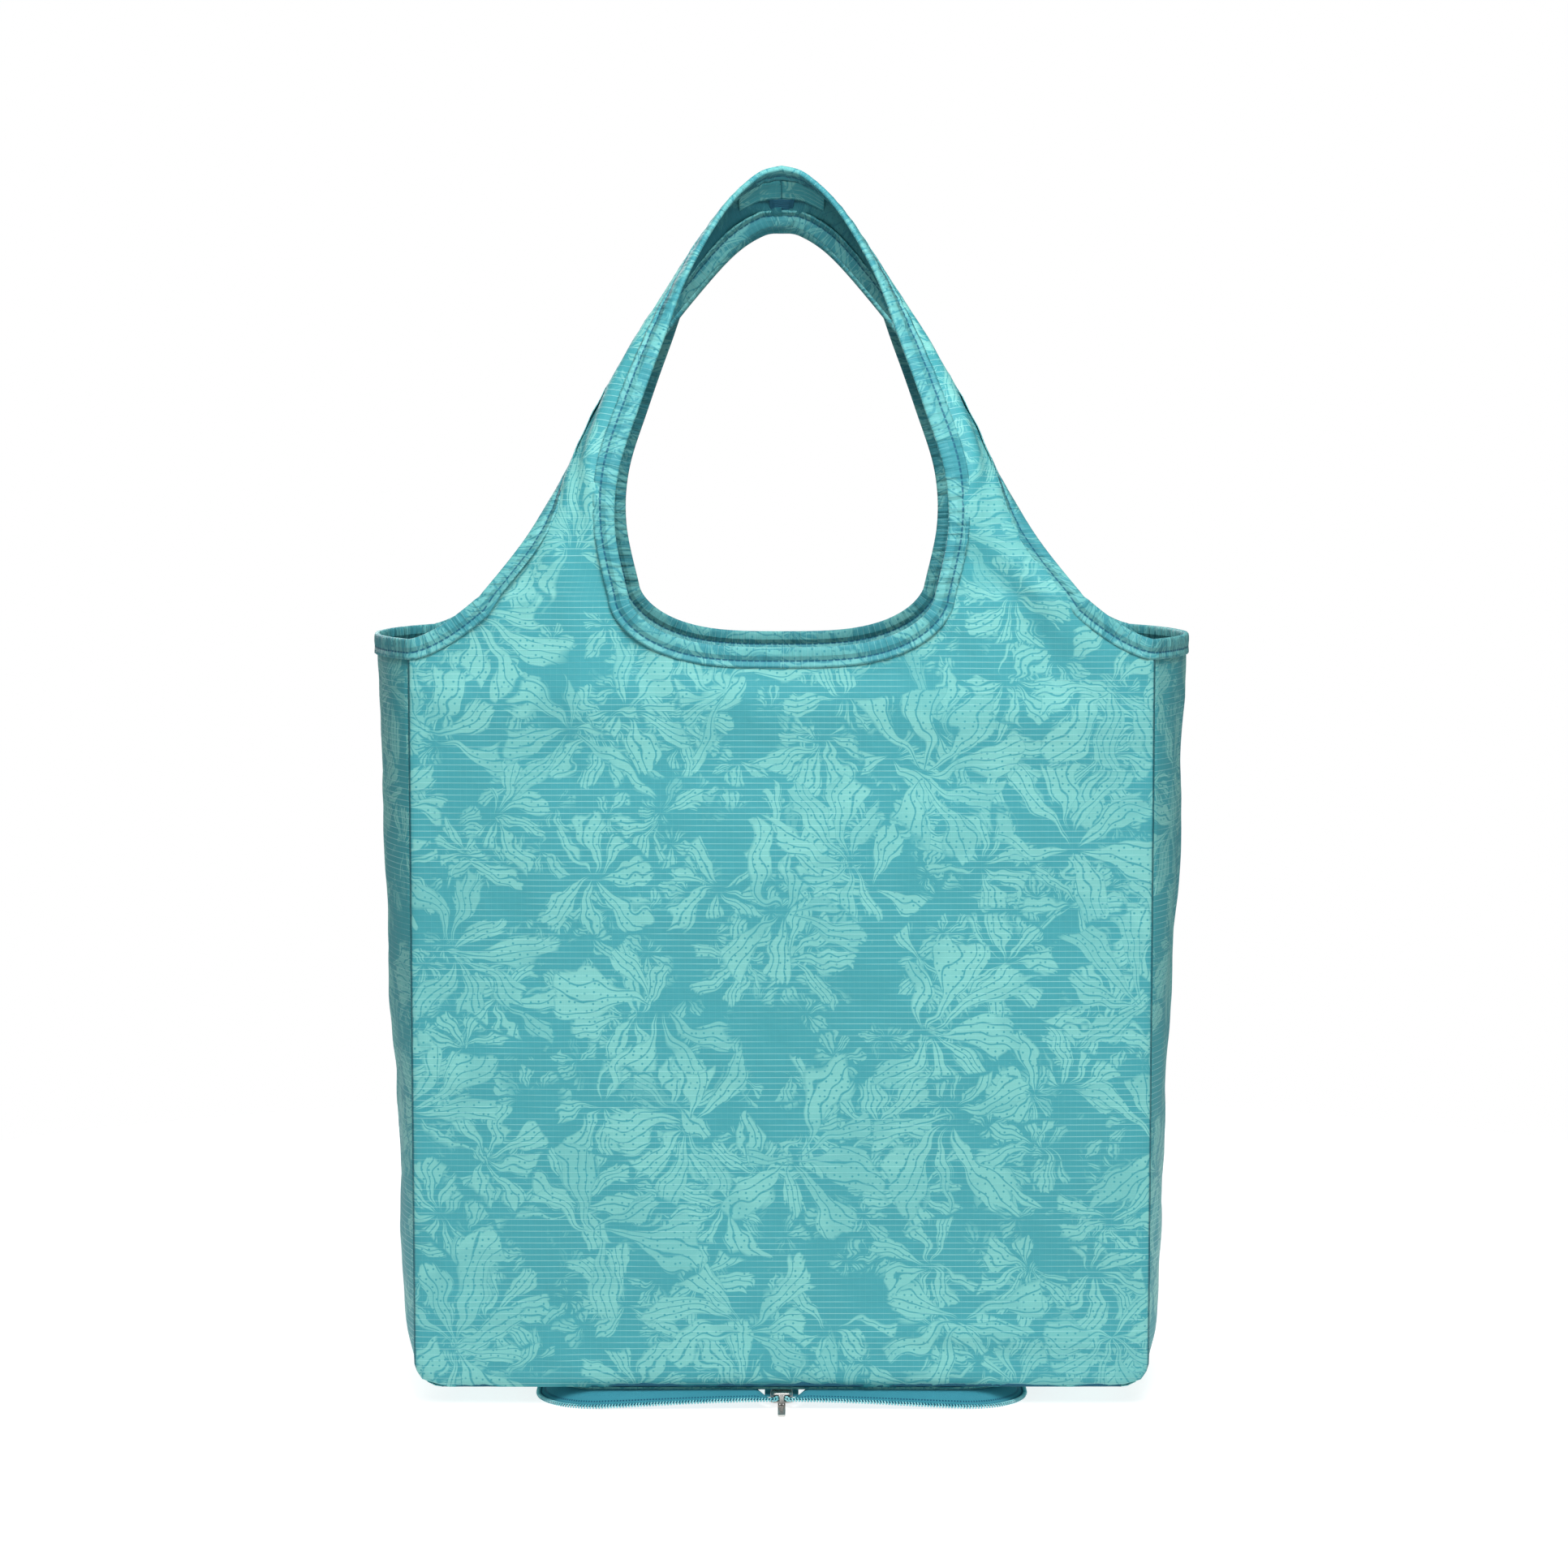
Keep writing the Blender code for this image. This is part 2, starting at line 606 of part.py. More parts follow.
def zip_half(side, hand):
    """One half of the zip: its coil and its tape."""
    marks = ring_stations(side)
    up = Vector((0, 0, 1))
    centres = [Vector((x, y, coil_height(abs(x), y))) for (x, y), _ in marks]
    stations = [flat_station(c, Vector((a, b, 0)), up) for c, (_, (a, b)) in zip(centres, marks)]
    turns = [math.pi / 8 + math.pi / 4 * k for k in range(8)]
    flat = COIL_RADIUS / math.cos(math.pi / 8)
    octagon = [(flat * math.cos(t), flat * math.sin(t)) for t in turns]
    sweep(f"zip_coil_{hand}", stations, lambda k: octagon, COIL, smooth=True)

    top = POUCH_HEIGHT - GAP - ZIP_TAPE / 2

    def tape(k):
        """The tape's section: narrow round the tight turn, rising to the pouch's edge."""
        near = COIL_RADIUS + GAP
        if k < TAIL_STEPS - 1:
            return rectangle(near, TAIL_TAPE_WIDTH, -ZIP_TAPE / 2, ZIP_TAPE / 2)
        if k <= TAIL_STEPS + TURN_STEPS:
            return rectangle(near, TURN_TAPE_WIDTH, -ZIP_TAPE / 2, ZIP_TAPE / 2)
        far = COIL_RADIUS + GAP + ZIP_TAPE_WIDTH
        lift = top - centres[k].z
        bend = (near, -ZIP_TAPE / 2), (far, lift - ZIP_TAPE / 2), (far, lift + ZIP_TAPE / 2)
        return (*bend, (near, ZIP_TAPE / 2))

    sweep(f"zip_tape_{hand}", stations, tape, ZIP)
    x = side * (4 * STOP_LENGTH - GAP - STOP_LENGTH / 2)
    reach = COIL_RADIUS + GAP
    low = (x - STOP_LENGTH / 2, RING_Y - reach, GROUND_GAP)
    shape = box(low, (x + STOP_LENGTH / 2, RING_Y + COIL_RADIUS, 2 * reach))
    place(f"zip_top_stop_{hand}", shape, NICKEL)


def pouch():
    """The pouch's flat panel under the base, its edge lapping over the zip tape."""
    inset = COIL_RADIUS + GAP + ZIP_TAPE_WIDTH - POUCH_LAP
    half_x, half_y = RING_X - inset, RING_Y - inset
    radius = RING_CORNER - COIL_RADIUS - inset
    outline = []
    for quarter in range(4):
        middle = (half_x - radius, half_y - radius)
        centre = (middle[0] * (1, -1, -1, 1)[quarter], middle[1] * (1, 1, -1, -1)[quarter])
        for share in steps(7):
            turn = math.pi / 2 * (quarter + share)
            outline.append((centre[0] + radius * math.cos(turn), centre[1] + radius * math.sin(turn)))
    top = min(POUCH_HEIGHT + CLOTH, BASE_HEIGHT - GAP)
    place("pouch_panel", prism(outline, POUCH_HEIGHT, top), PRINTED)
    back = SLIDER_FRONT_Y + TAIL_LENGTH + GAP
    half = TAIL_X + COIL_RADIUS + GAP
    low = (-half, back, COIL_HEIGHT - COIL_RADIUS)
    high = (half, back + STOP_LENGTH, COIL_HEIGHT + COIL_RADIUS)
    place("zip_bottom_stop", box(low, high), NICKEL)


# ---------------------------------------------------------------- slider and pull


def cutter(name, shape, origin=(0, 0, 0)):
    obj = place(name, shape, NICKEL, origin)
    obj.hide_render = True
    obj.display_type = "WIRE"
    return obj


def slider_body():
    """The slider: two plates joined by a wedge post, with throats for the coils."""
    front, back = SLIDER_FRONT_Y, SLIDER_FRONT_Y + SLIDER_LENGTH
    wide, narrow = SLIDER_FRONT_WIDTH / 2, SLIDER_BACK_WIDTH / 2
    chamfer = SLIDER_CHAMFER
    outline = [
        (-wide + chamfer, front), (wide - chamfer, front), (wide, front + chamfer),
        (narrow, back - chamfer / 2), (narrow - chamfer / 2, back),
        (-narrow + chamfer / 2, back), (-narrow, back - chamfer / 2), (-wide, front + chamfer),
    ]
    origin = (0, SLIDER_Y, COIL_HEIGHT)
    body = place("zip_slider_body", prism(outline, SLIDER_FOOT, SLIDER_TOP), NICKEL, origin)
    soft = body.modifiers.new("soft_edges", "BEVEL")
    soft.width = SLIDER_EDGE
    soft.segments = 1
    soft.limit_method = "ANGLE"
    half = TAIL_X + COIL_RADIUS + GAP
    post = POST_WIDTH / 2
    past = 0.001
    throat = [
        (-half, front - past), (-post, front - past), (-post, front + POST_LENGTH * 0.6),
        (0, front + POST_LENGTH), (post, front + POST_LENGTH * 0.6), (post, front - past),
        (half, front - past), (half, back + past), (-half, back + past),
    ]
    low = SLIDER_FOOT + SLIDER_PLATE
    cuts = [cutter("cut_throat", prism(throat, low, low + SLIDER_CHANNEL))]
    slot = ZIP_TAPE / 2 + GAP
    for side, hand in ((-1, "left"), (1, "right")):
        xs = sorted((side * (half - GAP), side * (wide + past)))
        low_corner = (xs[0], front - past, COIL_HEIGHT - slot)
        shape = box(low_corner, (xs[1], back + past, COIL_HEIGHT + slot))
        cuts.append(cutter(f"cut_slot_{hand}", shape))
    for cut in cuts:
        carve = body.modifiers.new(cut.name, "BOOLEAN")
        carve.operation = "DIFFERENCE"
        carve.solver = "EXACT"
        carve.object = cut
    return body


def slider_crown():
    """The bridge under the slider that holds the pull: a staple with two feet."""
    half = CROWN_LENGTH / 2
    inner = half - CROWN_LEG
    top = SLIDER_FOOT - GAP
    low = GROUND_GAP
    outline = [
        (-half, low), (half, low), (half, top), (inner, top), (inner, low + CROWN_WALL),
        (-inner, low + CROWN_WALL), (-inner, top), (-half, top),
    ]
    shape = bmesh.new()
    left = -CROWN_WIDTH / 2
    face = shape.faces.new([shape.verts.new((left, SLIDER_Y + y, z)) for y, z in outline])
    far = bmesh.ops.extrude_face_region(shape, geom=[face])["geom"]
    verts = [v for v in far if isinstance(v, bmesh.types.BMVert)]
    bmesh.ops.translate(shape, verts=verts, vec=(CROWN_WIDTH, 0, 0))
    return place("zip_slider_crown", shape, NICKEL, (0, SLIDER_Y, COIL_HEIGHT))


def pull():
    """The pull: a flat tab with an eye, its bar under the crown, its tip on the ground."""
    bar_z = GROUND_GAP + CROWN_WALL + GAP + PULL_THICKNESS / 2
    bar = PULL_THICKNESS / 2
    half = PULL_WIDTH / 2
    tip = SLIDER_Y - PULL_LENGTH + bar
    outline = [
        (-half, SLIDER_Y + bar), (-half, tip + PULL_NOSE), (-half + PULL_NOSE, tip),
        (half - PULL_NOSE, tip), (half, tip + PULL_NOSE), (half, SLIDER_Y + bar),
    ]
    shape = prism(outline, bar_z - bar, bar_z + bar)
    hinge = (0, SLIDER_Y, bar_z)
    body = place("zip_pull", shape, NICKEL, hinge)
    eye = CROWN_WIDTH / 2 + EYE_CLEARANCE
    low = (-eye, SLIDER_Y - bar - EYE_LENGTH, bar_z - PULL_THICKNESS)
    cut = cutter("cut_eye", box(low, (eye, SLIDER_Y - bar, bar_z + PULL_THICKNESS)), hinge)
    carve = body.modifiers.new("eye", "BOOLEAN")
    carve.operation = "DIFFERENCE"
    carve.solver = "EXACT"
    carve.object = cut
    tilt = math.asin((bar_z - bar - PULL_TIP_GAP) / PULL_LENGTH)
    for obj in (body, cut):
        obj.rotation_euler = (tilt, 0, 0)
    return body


def main():
    for obj in list(bpy.data.objects):
        bpy.data.objects.remove(obj)
    for facing, front in ((-1, "front"), (1, "back")):
        panel(f"{front}_panel", facing)
        neck_binding(f"{front}_neck_binding", facing)
    for side, hand in ((-1, "left"), (1, "right")):
        gusset(f"{hand}_gusset", side)
        side_binding(f"{hand}_side_binding", side)
    base_panel()
    seam_tapes()
    handle("front", -1, 0.0)
    handle("back", 1, BACK_HANDLE_DROP)
    pouch()
    for side, hand in ((-1, "left"), (1, "right")):
        zip_half(side, hand)
    slider_body()
    slider_crown()
    pull()
    for obj in bpy.data.objects:
        obj.location.y -= MIDDLE_Y


main()
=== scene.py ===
"""Looks of a foldable printed tote bag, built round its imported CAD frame.

The bag's own middle is MIDDLE behind the frame's origin. Functions that say where cloth lies work
round that middle, and make() moves what they draw back into the frame. All sizes are in metres.
"""

import math

import bmesh
import bpy
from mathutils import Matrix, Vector, noise


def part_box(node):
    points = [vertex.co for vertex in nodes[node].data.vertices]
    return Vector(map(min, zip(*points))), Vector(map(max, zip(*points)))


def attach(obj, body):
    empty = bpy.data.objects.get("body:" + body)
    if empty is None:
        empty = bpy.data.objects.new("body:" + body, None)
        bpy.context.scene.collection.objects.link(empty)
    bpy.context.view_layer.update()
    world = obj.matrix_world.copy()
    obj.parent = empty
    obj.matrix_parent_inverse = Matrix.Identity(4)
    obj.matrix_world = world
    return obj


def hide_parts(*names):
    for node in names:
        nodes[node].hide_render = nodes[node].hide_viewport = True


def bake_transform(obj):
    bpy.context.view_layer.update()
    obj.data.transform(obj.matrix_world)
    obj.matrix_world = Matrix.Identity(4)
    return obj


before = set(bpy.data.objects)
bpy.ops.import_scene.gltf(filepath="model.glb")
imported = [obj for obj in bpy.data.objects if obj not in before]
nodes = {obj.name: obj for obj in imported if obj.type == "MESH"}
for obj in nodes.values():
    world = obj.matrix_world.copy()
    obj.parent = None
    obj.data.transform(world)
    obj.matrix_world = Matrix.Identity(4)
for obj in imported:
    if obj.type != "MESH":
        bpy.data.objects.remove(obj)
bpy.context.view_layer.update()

# Sizes of the bag's pattern, and where each cloth's pattern lies on the printed cloth
CLOTH = 0.0008
WALL = 0.0005
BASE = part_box("front_panel")[0].z
WALL_X = 0.1846
WALL_Y = 0.0704
MIDDLE = (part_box("front_panel")[0].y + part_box("back_panel")[1].y) / 2
HEM = 0.3851
NECK = 0.3811
FOLD = 0.4071
CORNER = 0.0136
SIDE_FOOT = 0.148
NECK_FOOT = 0.0765
NECK_HALF = 0.083
STRAP_FOOT = 0.0715
STRAP = 0.0380
APEX_DROOP = 44.5
HANDLE_RISE = 0.2115
APEX_GAP = 0.0029
APEX_HALF = STRAP * math.cos(math.radians(APEX_DROOP)) + APEX_GAP
HANDLE_LEAN = WALL_Y - APEX_HALF
BACK_DROP = 0.003
STRAP_RUN = 0.262
APEX_RUN = 0.112
BINDING = 0.0095
FACE = CLOTH / 2
SEAM_TURN = 0.003
STRAP_COLUMNS = 16
BACK_CUT = 0.8
PATCH_CUT = 3.1
BASE_CUT = 2.2
POUCH_CUT = 4.3
GUSSET_CUT = 1.3

# One place up a handle in each row: rise, spread and lean as shares, then the strap's turn and
# droop in degrees, its width and its crown.
HANDLE_ROWS = (
    (0.000, NECK_FOOT / NECK_HALF, 0.000, 0.0, 0.0, STRAP_FOOT, 0.000),
    (0.151, 1.000, 0.012, 10.5, 1.0, STRAP * 1.08, 0.003),
    (0.292, 0.982, 0.075, 36.0, 2.0, STRAP * 0.80, 0.009),
    (0.448, 0.855, 0.250, 52.0, 6.0, STRAP * 0.81, 0.009),
    (0.604, 0.711, 0.475, 70.0, 13.0, STRAP * 0.79, 0.008),
    (0.755, 0.566, 0.700, 94.0, 16.0, STRAP * 0.80, 0.006),
    (0.901, 0.349, 0.888, 98.0, 31.0, STRAP * 0.88, 0.006),
    (0.981, 0.145, 0.975, 95.0, 41.0, STRAP * 0.96, 0.005),
    (1.000, 0.000, 1.000, 90.0, APEX_DROOP, STRAP, 0.005),
)

# Soft folds in the front: two ends as (x, z), width and height, outwards if positive.
FRONT_FOLDS = (
    ((0.090, 0.440), (0.137, 0.372), 0.0080, -0.0032),
    ((0.106, 0.436), (0.152, 0.384), 0.0070, 0.0022),
    ((0.079, 0.405), (0.120, 0.352), 0.0090, 0.0016),
    ((-0.090, 0.425), (-0.062, 0.362), 0.0080, -0.0022),
    ((-0.128, 0.440), (-0.150, 0.372), 0.0080, -0.0026),
    ((-0.110, 0.430), (-0.098, 0.350), 0.0100, 0.0018),
    ((-0.180, 0.356), (0.180, 0.352), 0.0140, 0.0016),
    ((-0.170, 0.318), (0.175, 0.322), 0.0180, -0.0012),
    ((0.050, 0.038), (0.183, 0.035), 0.0045, 0.0012),
    ((0.060, 0.028), (0.150, 0.024), 0.0040, -0.0008),
    ((-0.165, 0.052), (-0.095, 0.018), 0.0060, 0.0014),
    ((-0.150, 0.062), (-0.070, 0.040), 0.0060, -0.0008),
    ((-0.110, 0.213), (-0.075, 0.203), 0.0040, 0.0007),
    ((0.110, 0.100), (0.180, 0.075), 0.0070, 0.0009),
    ((-0.180, 0.150), (-0.120, 0.190), 0.0090, 0.0010),
)
BACK_FOLDS = (
    ((0.092, 0.436), (0.140, 0.368), 0.0085, -0.0026),
    ((-0.094, 0.430), (-0.136, 0.366), 0.0080, -0.0028),
    ((-0.078, 0.408), (-0.112, 0.350), 0.0090, 0.0016),
    ((0.070, 0.404), (0.104, 0.346), 0.0090, 0.0014),
    ((-0.176, 0.350), (0.178, 0.356), 0.0150, 0.0014),
    ((-0.172, 0.300), (0.168, 0.312), 0.0180, -0.0012),
    ((-0.160, 0.044), (-0.030, 0.030), 0.0050, 0.0010),
    ((0.070, 0.060), (0.172, 0.026), 0.0060, 0.0012),
    ((0.020, 0.180), (0.150, 0.150), 0.0120, 0.0009),
)


# ---------------------------------------------------------------- materials


class Value:
    """A socket of a material. Python's operators on it add Math nodes."""

    def __init__(self, paint, socket):
        self.paint = paint
        self.socket = socket

    def maths(self, operation, *others):
        values = dict(enumerate((self, *others)))
        return self.paint.node("Math", {"operation": operation}, values)

    def __add__(self, other):
        return self.maths("ADD", other)

    __radd__ = __add__

    def __mul__(self, other):
        return self.maths("MULTIPLY", other)

    __rmul__ = __mul__

    def __sub__(self, other):
        return self.maths("SUBTRACT", other)

    def __rsub__(self, other):
        return self.paint.node("Math", {"operation": "SUBTRACT"}, {0: other, 1: self})

    def __truediv__(self, other):
        return self.maths("DIVIDE", other)

    def __pow__(self, other):
        return self.maths("POWER", other)

    def __abs__(self):
        return self.maths("ABSOLUTE")

    def clamp(self):
        return self.paint.node("Clamp", {}, {0: self})

    def part(self, count=1.0):
        """The fractional part of the value times count."""
        return (self * count).maths("FRACT")

    def least(self, other):
        return self.maths("MINIMUM", other)

    def most(self, other):
        return self.maths("MAXIMUM", other)


class Finish:
    """A material, with one method that adds any node."""

    def __init__(self, name, roughness, **constants):
        self.material = bpy.data.materials.new(name)
        self.material.use_nodes = True
        self.tree = self.material.node_tree
        self.shader = self.tree.nodes["Principled BSDF"]
        self.shader.inputs["Roughness"].default_value = roughness
        for key, value in constants.items():
            self.shader.inputs[key.replace("_", " ")].default_value = value

    def node(self, kind, settings, sockets, out=0):
        made = self.tree.nodes.new("ShaderNode" + kind)
        for key, value in settings.items():
            setattr(made, key, value)
        for key, value in sockets.items():
            self.join(value, made.inputs[key])
        return Value(self, made.outputs[out])

    def join(self, value, socket):
        if isinstance(value, Value):
            self.tree.links.new(value.socket, socket)
        else:
            socket.default_value = value

    def set(self, **sockets):
        for key, value in sockets.items():
            self.join(value, self.shader.inputs[key.replace("_", " ")])

    def mix(self, share, first, second):
        """A blend of two colours."""
        return self.node("Mix", {"data_type": "RGBA"}, {0: share, 6: first, 7: second}, 2)

    def cut(self):
        """The place on the piece's own cut pattern, in metres."""
        return self.node("UVMap", {"uv_map": "cut"}, {})

    def split(self, vector):
        return [self.node("SeparateXYZ", {}, {0: vector}, k) for k in range(3)]

    def join_xyz(self, x, y, z=0.0):
        return self.node("CombineXYZ", {}, {0: x, 1: y, 2: z})

    def vector(self, operation, first, second, out=0):
        return self.node("VectorMath", {"operation": operation}, {0: first, 1: second}, out)

    def scaled(self, vector, factor):
        return self.node("VectorMath", {"operation": "SCALE"}, {0: vector, 3: factor})

    def cloud(self, vector, size, detail=2.0, colour=False):
        """Noise with features of a size in metres, from 0 to 1."""
        sockets = {"Vector": vector, "Scale": 1 / size, "Detail": detail}
        return self.node("TexNoise", {}, sockets, 1 if colour else 0)

    def bump(self, height, metres, normal=None):
        """A bump whose height runs from 0 to 1, for metres of relief."""
        sockets = {"Height": height, "Strength": 1.0, "Distance": metres}
        if normal is not None:
            sockets["Normal"] = normal
        return self.node("Bump", {}, sockets)


def linear(red, green, blue):
    """A colour given from 0 to 255 as a material's linear one."""
    found = []
    for part in (red, green, blue):
        share = part / 255
        found.append(share / 12.92 if share <= 0.04045 else ((share + 0.055) / 1.055) ** 2.4)
    return (*found, 1.0)


def soft_step(value, edge, width):
    """0 below edge, 1 above it, with a ramp of that width."""
    return ((value - edge) / width + 0.5).clamp()


def fans(paint, flat, size, petals, opened, shift):
    """A layer of petal fans opened by a share of a turn, one to each cell of a loose grid.

    It gives the petals' mask and the whole fan's, both 1 inside and 0 outside.
    """
    moved = paint.vector("ADD", flat, shift)
    sway = paint.cloud(moved, size * 0.50, 2.0, colour=True)
    sway = paint.scaled(paint.vector("SUBTRACT", sway, (0.5, 0.5, 0.5)), size * 0.50)
    bent = paint.vector("ADD", moved, sway)
    grid = {"Vector": bent, "Scale": 1 / size, "Randomness": 0.9}
    cells = {"voronoi_dimensions": "2D"}
    middle = paint.node("TexVoronoi", cells, grid, 2)
    tint = paint.node("TexVoronoi", cells, grid, 1)
    border = paint.node("TexVoronoi", {**cells, "feature": "DISTANCE_TO_EDGE"}, grid)
    chance, luck, _ = paint.split(tint)
    local = paint.vector("SUBTRACT", bent, middle)
    x, y, _ = paint.split(local)
    radius = paint.node("VectorMath", {"operation": "LENGTH"}, {0: local}, 1)
    round_share = (y.maths("ARCTAN2", x) / (2 * math.pi) + chance).part()
    turn = round_share * petals
    which = turn.maths("FLOOR")
    aside = (turn.part() - 0.5) * 2
    pick = paint.node("TexWhiteNoise", {"noise_dimensions": "1D"}, {"W": which + luck * 31})
    other = paint.node("TexWhiteNoise", {"noise_dimensions": "1D"}, {"W": which * 3 + luck * 57})
    reach = (pick * 0.36 + 0.44) * size
    along = (radius / reach).least(2.0)
    streaks = paint.join_xyz(turn * 7.0, along * 1.2, luck * 20)
    ragged = paint.node("TexNoise", {}, {"Vector": streaks, "Scale": 1.0, "Detail": 2.0})
    taper = along ** 0.55 * (1 - along ** 5) * (other * 0.45 + 0.80)
    outline = taper + (ragged - 0.5) * (along * 1.5 + 0.10)
    shown = soft_step(other, 0.10, 0.02) * soft_step(radius, size * 0.045, size * 0.02)
    shown = shown * (1 - soft_step(round_share, opened, 0.01))
    inside = soft_step(outline - abs(aside), 0.0, 0.12) * shown
    per_petal = radius * (math.pi / petals)
    wander = paint.cloud(paint.join_xyz(which + luck * 9, radius, 0.0), 0.022, 1.0)
    branch = soft_step(along, 0.55, 0.5) * 1.1 + 1.6
    lines = (aside + (wander - 0.5) * 0.26) * branch
    vein = (0.5 - abs(lines.part() - 0.5)) / branch * per_petal
    veins = soft_step(vein, 0.00034, 0.00028)
    spots = {"Vector": moved, "Scale": 1 / 0.0040, "Randomness": 0.6}
    spot = paint.node("TexVoronoi", cells, spots)
    heart = soft_step(abs(aside), 0.80, 0.1).most(soft_step(abs(along - 0.62), 0.33, 0.1))
    spots_off = soft_step(spot, 0.135, 0.06).most(heart)
    apart = soft_step(border * size, 0.0012, 0.0012)
    return inside * veins * spots_off * apart, inside * apart


def print_pattern(paint, flat):
    """The tone-on-tone leaf print: 1 on the pale leaves, 0 on the ground."""
    large, covered = fans(paint, flat, 0.078, 9, 0.74, (0.031, 0.047, 0.0))
    small, second = fans(paint, flat, 0.050, 8, 0.80, (0.213, 0.108, 0.0))
    least, _ = fans(paint, flat, 0.023, 6, 1.01, (0.513, 0.308, 0.0))
    patches = soft_step(paint.cloud(flat, 0.060, 1.0), 0.50, 0.05)
    gaps = soft_step(paint.cloud(flat, 0.034, 1.0), 0.50, 0.06)
    fill = small * (1 - covered)
    least = least * (1 - covered) * (1 - second) * gaps
    return (large * (patches * 0.25 + 0.75)).most(fill * 0.92).most(least * 0.8)


def ripstop(paint, flat):
    """The cloth's raised grid of heavier threads, every 3 mm, as (across, upright) masks."""
    x, y, _ = paint.split(flat)
    across = soft_step(abs((y / 0.003).part() - 0.5), 0.448, 0.04)
    upright = soft_step(abs((x / 0.003).part() - 0.5), 0.460, 0.04)
    return across, upright


def weave(paint, flat, pitch):
    """A plain weave's height, from 0 to 1."""
    x, y, _ = paint.split(flat)
    first = (x * (2 * math.pi / pitch)).maths("SINE")
    second = (y * (2 * math.pi / pitch)).maths("SINE")
    return first * second * 0.5 + 0.5


def cloth_finish(name, ground, leaf, line, contrast, stitched=False, pucker=0.0):
    """Printed ripstop: ground, print, grid, painted shade down the side seams, a dark centre seam
    at the apex, crumples and, on a binding, its stitching.
    """
    paint = Finish(name, 0.5, Specular_IOR_Level=0.12)
    flat = paint.cut()
    leaves = print_pattern(paint, flat) * contrast
    colour = paint.mix(leaves, linear(*ground), linear(*leaf))
    across, upright = ripstop(paint, flat)
    worn = soft_step(paint.cloud(flat, 0.045, 2.0), 0.46, 0.16) * 0.5 + 0.12
    colour = paint.mix(across * worn, colour, linear(*line))
    colour = paint.mix(upright * 0.05, colour, linear(*line))
    x, y, _ = paint.split(flat)
    # Painted shade: a dark line down each side seam stands in for the shadow in the groove where
    # the panel's edge turns in to the gusset. joined is the apex's own centre seam line.
    from_middle = abs(abs(x - BACK_CUT / 2) - BACK_CUT / 2)
    seam_shade = 1 - soft_step(abs(from_middle - WALL_X + 0.0004), 0.0006, 0.0004)
    joined = 1 - soft_step(abs(x - PATCH_CUT), 0.00016, 0.0001)
    colour = paint.mix(seam_shade.most(joined) * 0.7, colour, linear(20, 84, 100))
    blotch = paint.cloud(flat, 0.13, 1.0)
    colour = paint.mix((blotch - 0.35) * 0.35, colour, linear(*[part * 0.86 for part in ground]))
    height = across.most(upright * 0.3) * 0.5 + weave(paint, flat, 0.00055) * 0.18
    relief = paint.cloud(flat, 0.022, 3.0) * 0.9
    if stitched:
        row = abs(abs(x) - 0.0064)
        seam = 1 - soft_step(row, 0.00042, 0.0003)
        dashes = soft_step((y / 0.0031).part(), 0.26, 0.08)
        colour = paint.mix(seam * dashes * 0.85, colour, linear(24, 84, 112))
        colour = paint.mix(seam * (1 - dashes) * 0.30, colour, linear(24, 84, 112))
        gather = paint.join_xyz(y * 3.2, x * 0.7, 0.0)
        gathers = paint.cloud(gather, 0.013, 2.0)
        relief = relief + (gathers - 0.5) * pucker - (1 - soft_step(row, 0.0012, 0.0020)) * 0.8
    first = paint.bump(height, 0.00012)
    normal = paint.bump(relief, 0.0014, first)
    rough = 0.50 - across * 0.08 + (blotch - 0.5) * 0.12 - leaves * 0.04
    paint.set(Base_Color=colour, Roughness=rough, Normal=normal)
    return paint.material


def tape_finish(name, colour, dark, rib, edge, rim):
    """Woven tape: ribs, herringbone, an uneven dye, a row of stitches and a darker rim."""
    paint = Finish(name, 0.62, Specular_IOR_Level=0.25)
    flat = paint.cut()
    x, y, _ = paint.split(flat)
    slant = abs((x / (4 * rib)).part() - 0.5) * 4 * rib
    ribs = ((y + slant) * (2 * math.pi / rib)).maths("SINE") * 0.5 + 0.5
    cloudy = paint.cloud(flat, 0.018, 2.0)
    shade = ribs * 0.35 + (cloudy - 0.5) * 0.4
    tone = paint.mix(shade.clamp(), linear(*colour), linear(*dark))
    stitches = soft_step((y / 0.0015).part(), 0.42, 0.15)
    row = (1 - soft_step(abs(x - edge), 0.00042, 0.0002)) * stitches
    beside = 1 - soft_step(x, rim, 0.0003)
    tone = paint.mix(row.most(beside) * 0.85, tone, linear(16, 74, 104))
    normal = paint.bump(ribs, 0.00016)
    paint.set(Base_Color=tone, Roughness=0.58 + ribs * 0.12, Normal=normal)
    return paint.material


def coil_finish():
    """Dyed nylon monofilament, paler where it is rubbed."""
    paint = Finish("zip_coil_nylon", 0.34, Coat_Weight=0.12)
    place = paint.node("TexCoord", {}, {}, 3)
    rubbed = paint.cloud(place, 0.004, 2.0)
    tone = paint.mix(soft_step(rubbed, 0.5, 0.4), linear(86, 176, 188), linear(150, 218, 222))
    paint.set(Base_Color=tone, Roughness=0.28 + rubbed * 0.2)
    return paint.material


def thread_finish():
    """Dark twisted sewing thread."""
    paint = Finish("sewing_thread", 0.6, Sheen_Weight=0.3)
    flat = paint.cut()
    x, y, _ = paint.split(flat)
    twist = ((y * 3.0 + x) * (2 * math.pi / 0.0008)).maths("SINE") * 0.5 + 0.5
    tone = paint.mix(twist, linear(20, 74, 98), linear(44, 112, 134))
    paint.set(Base_Color=tone, Roughness=0.5 + twist * 0.2, Normal=paint.bump(twist, 0.0001))
    return paint.material


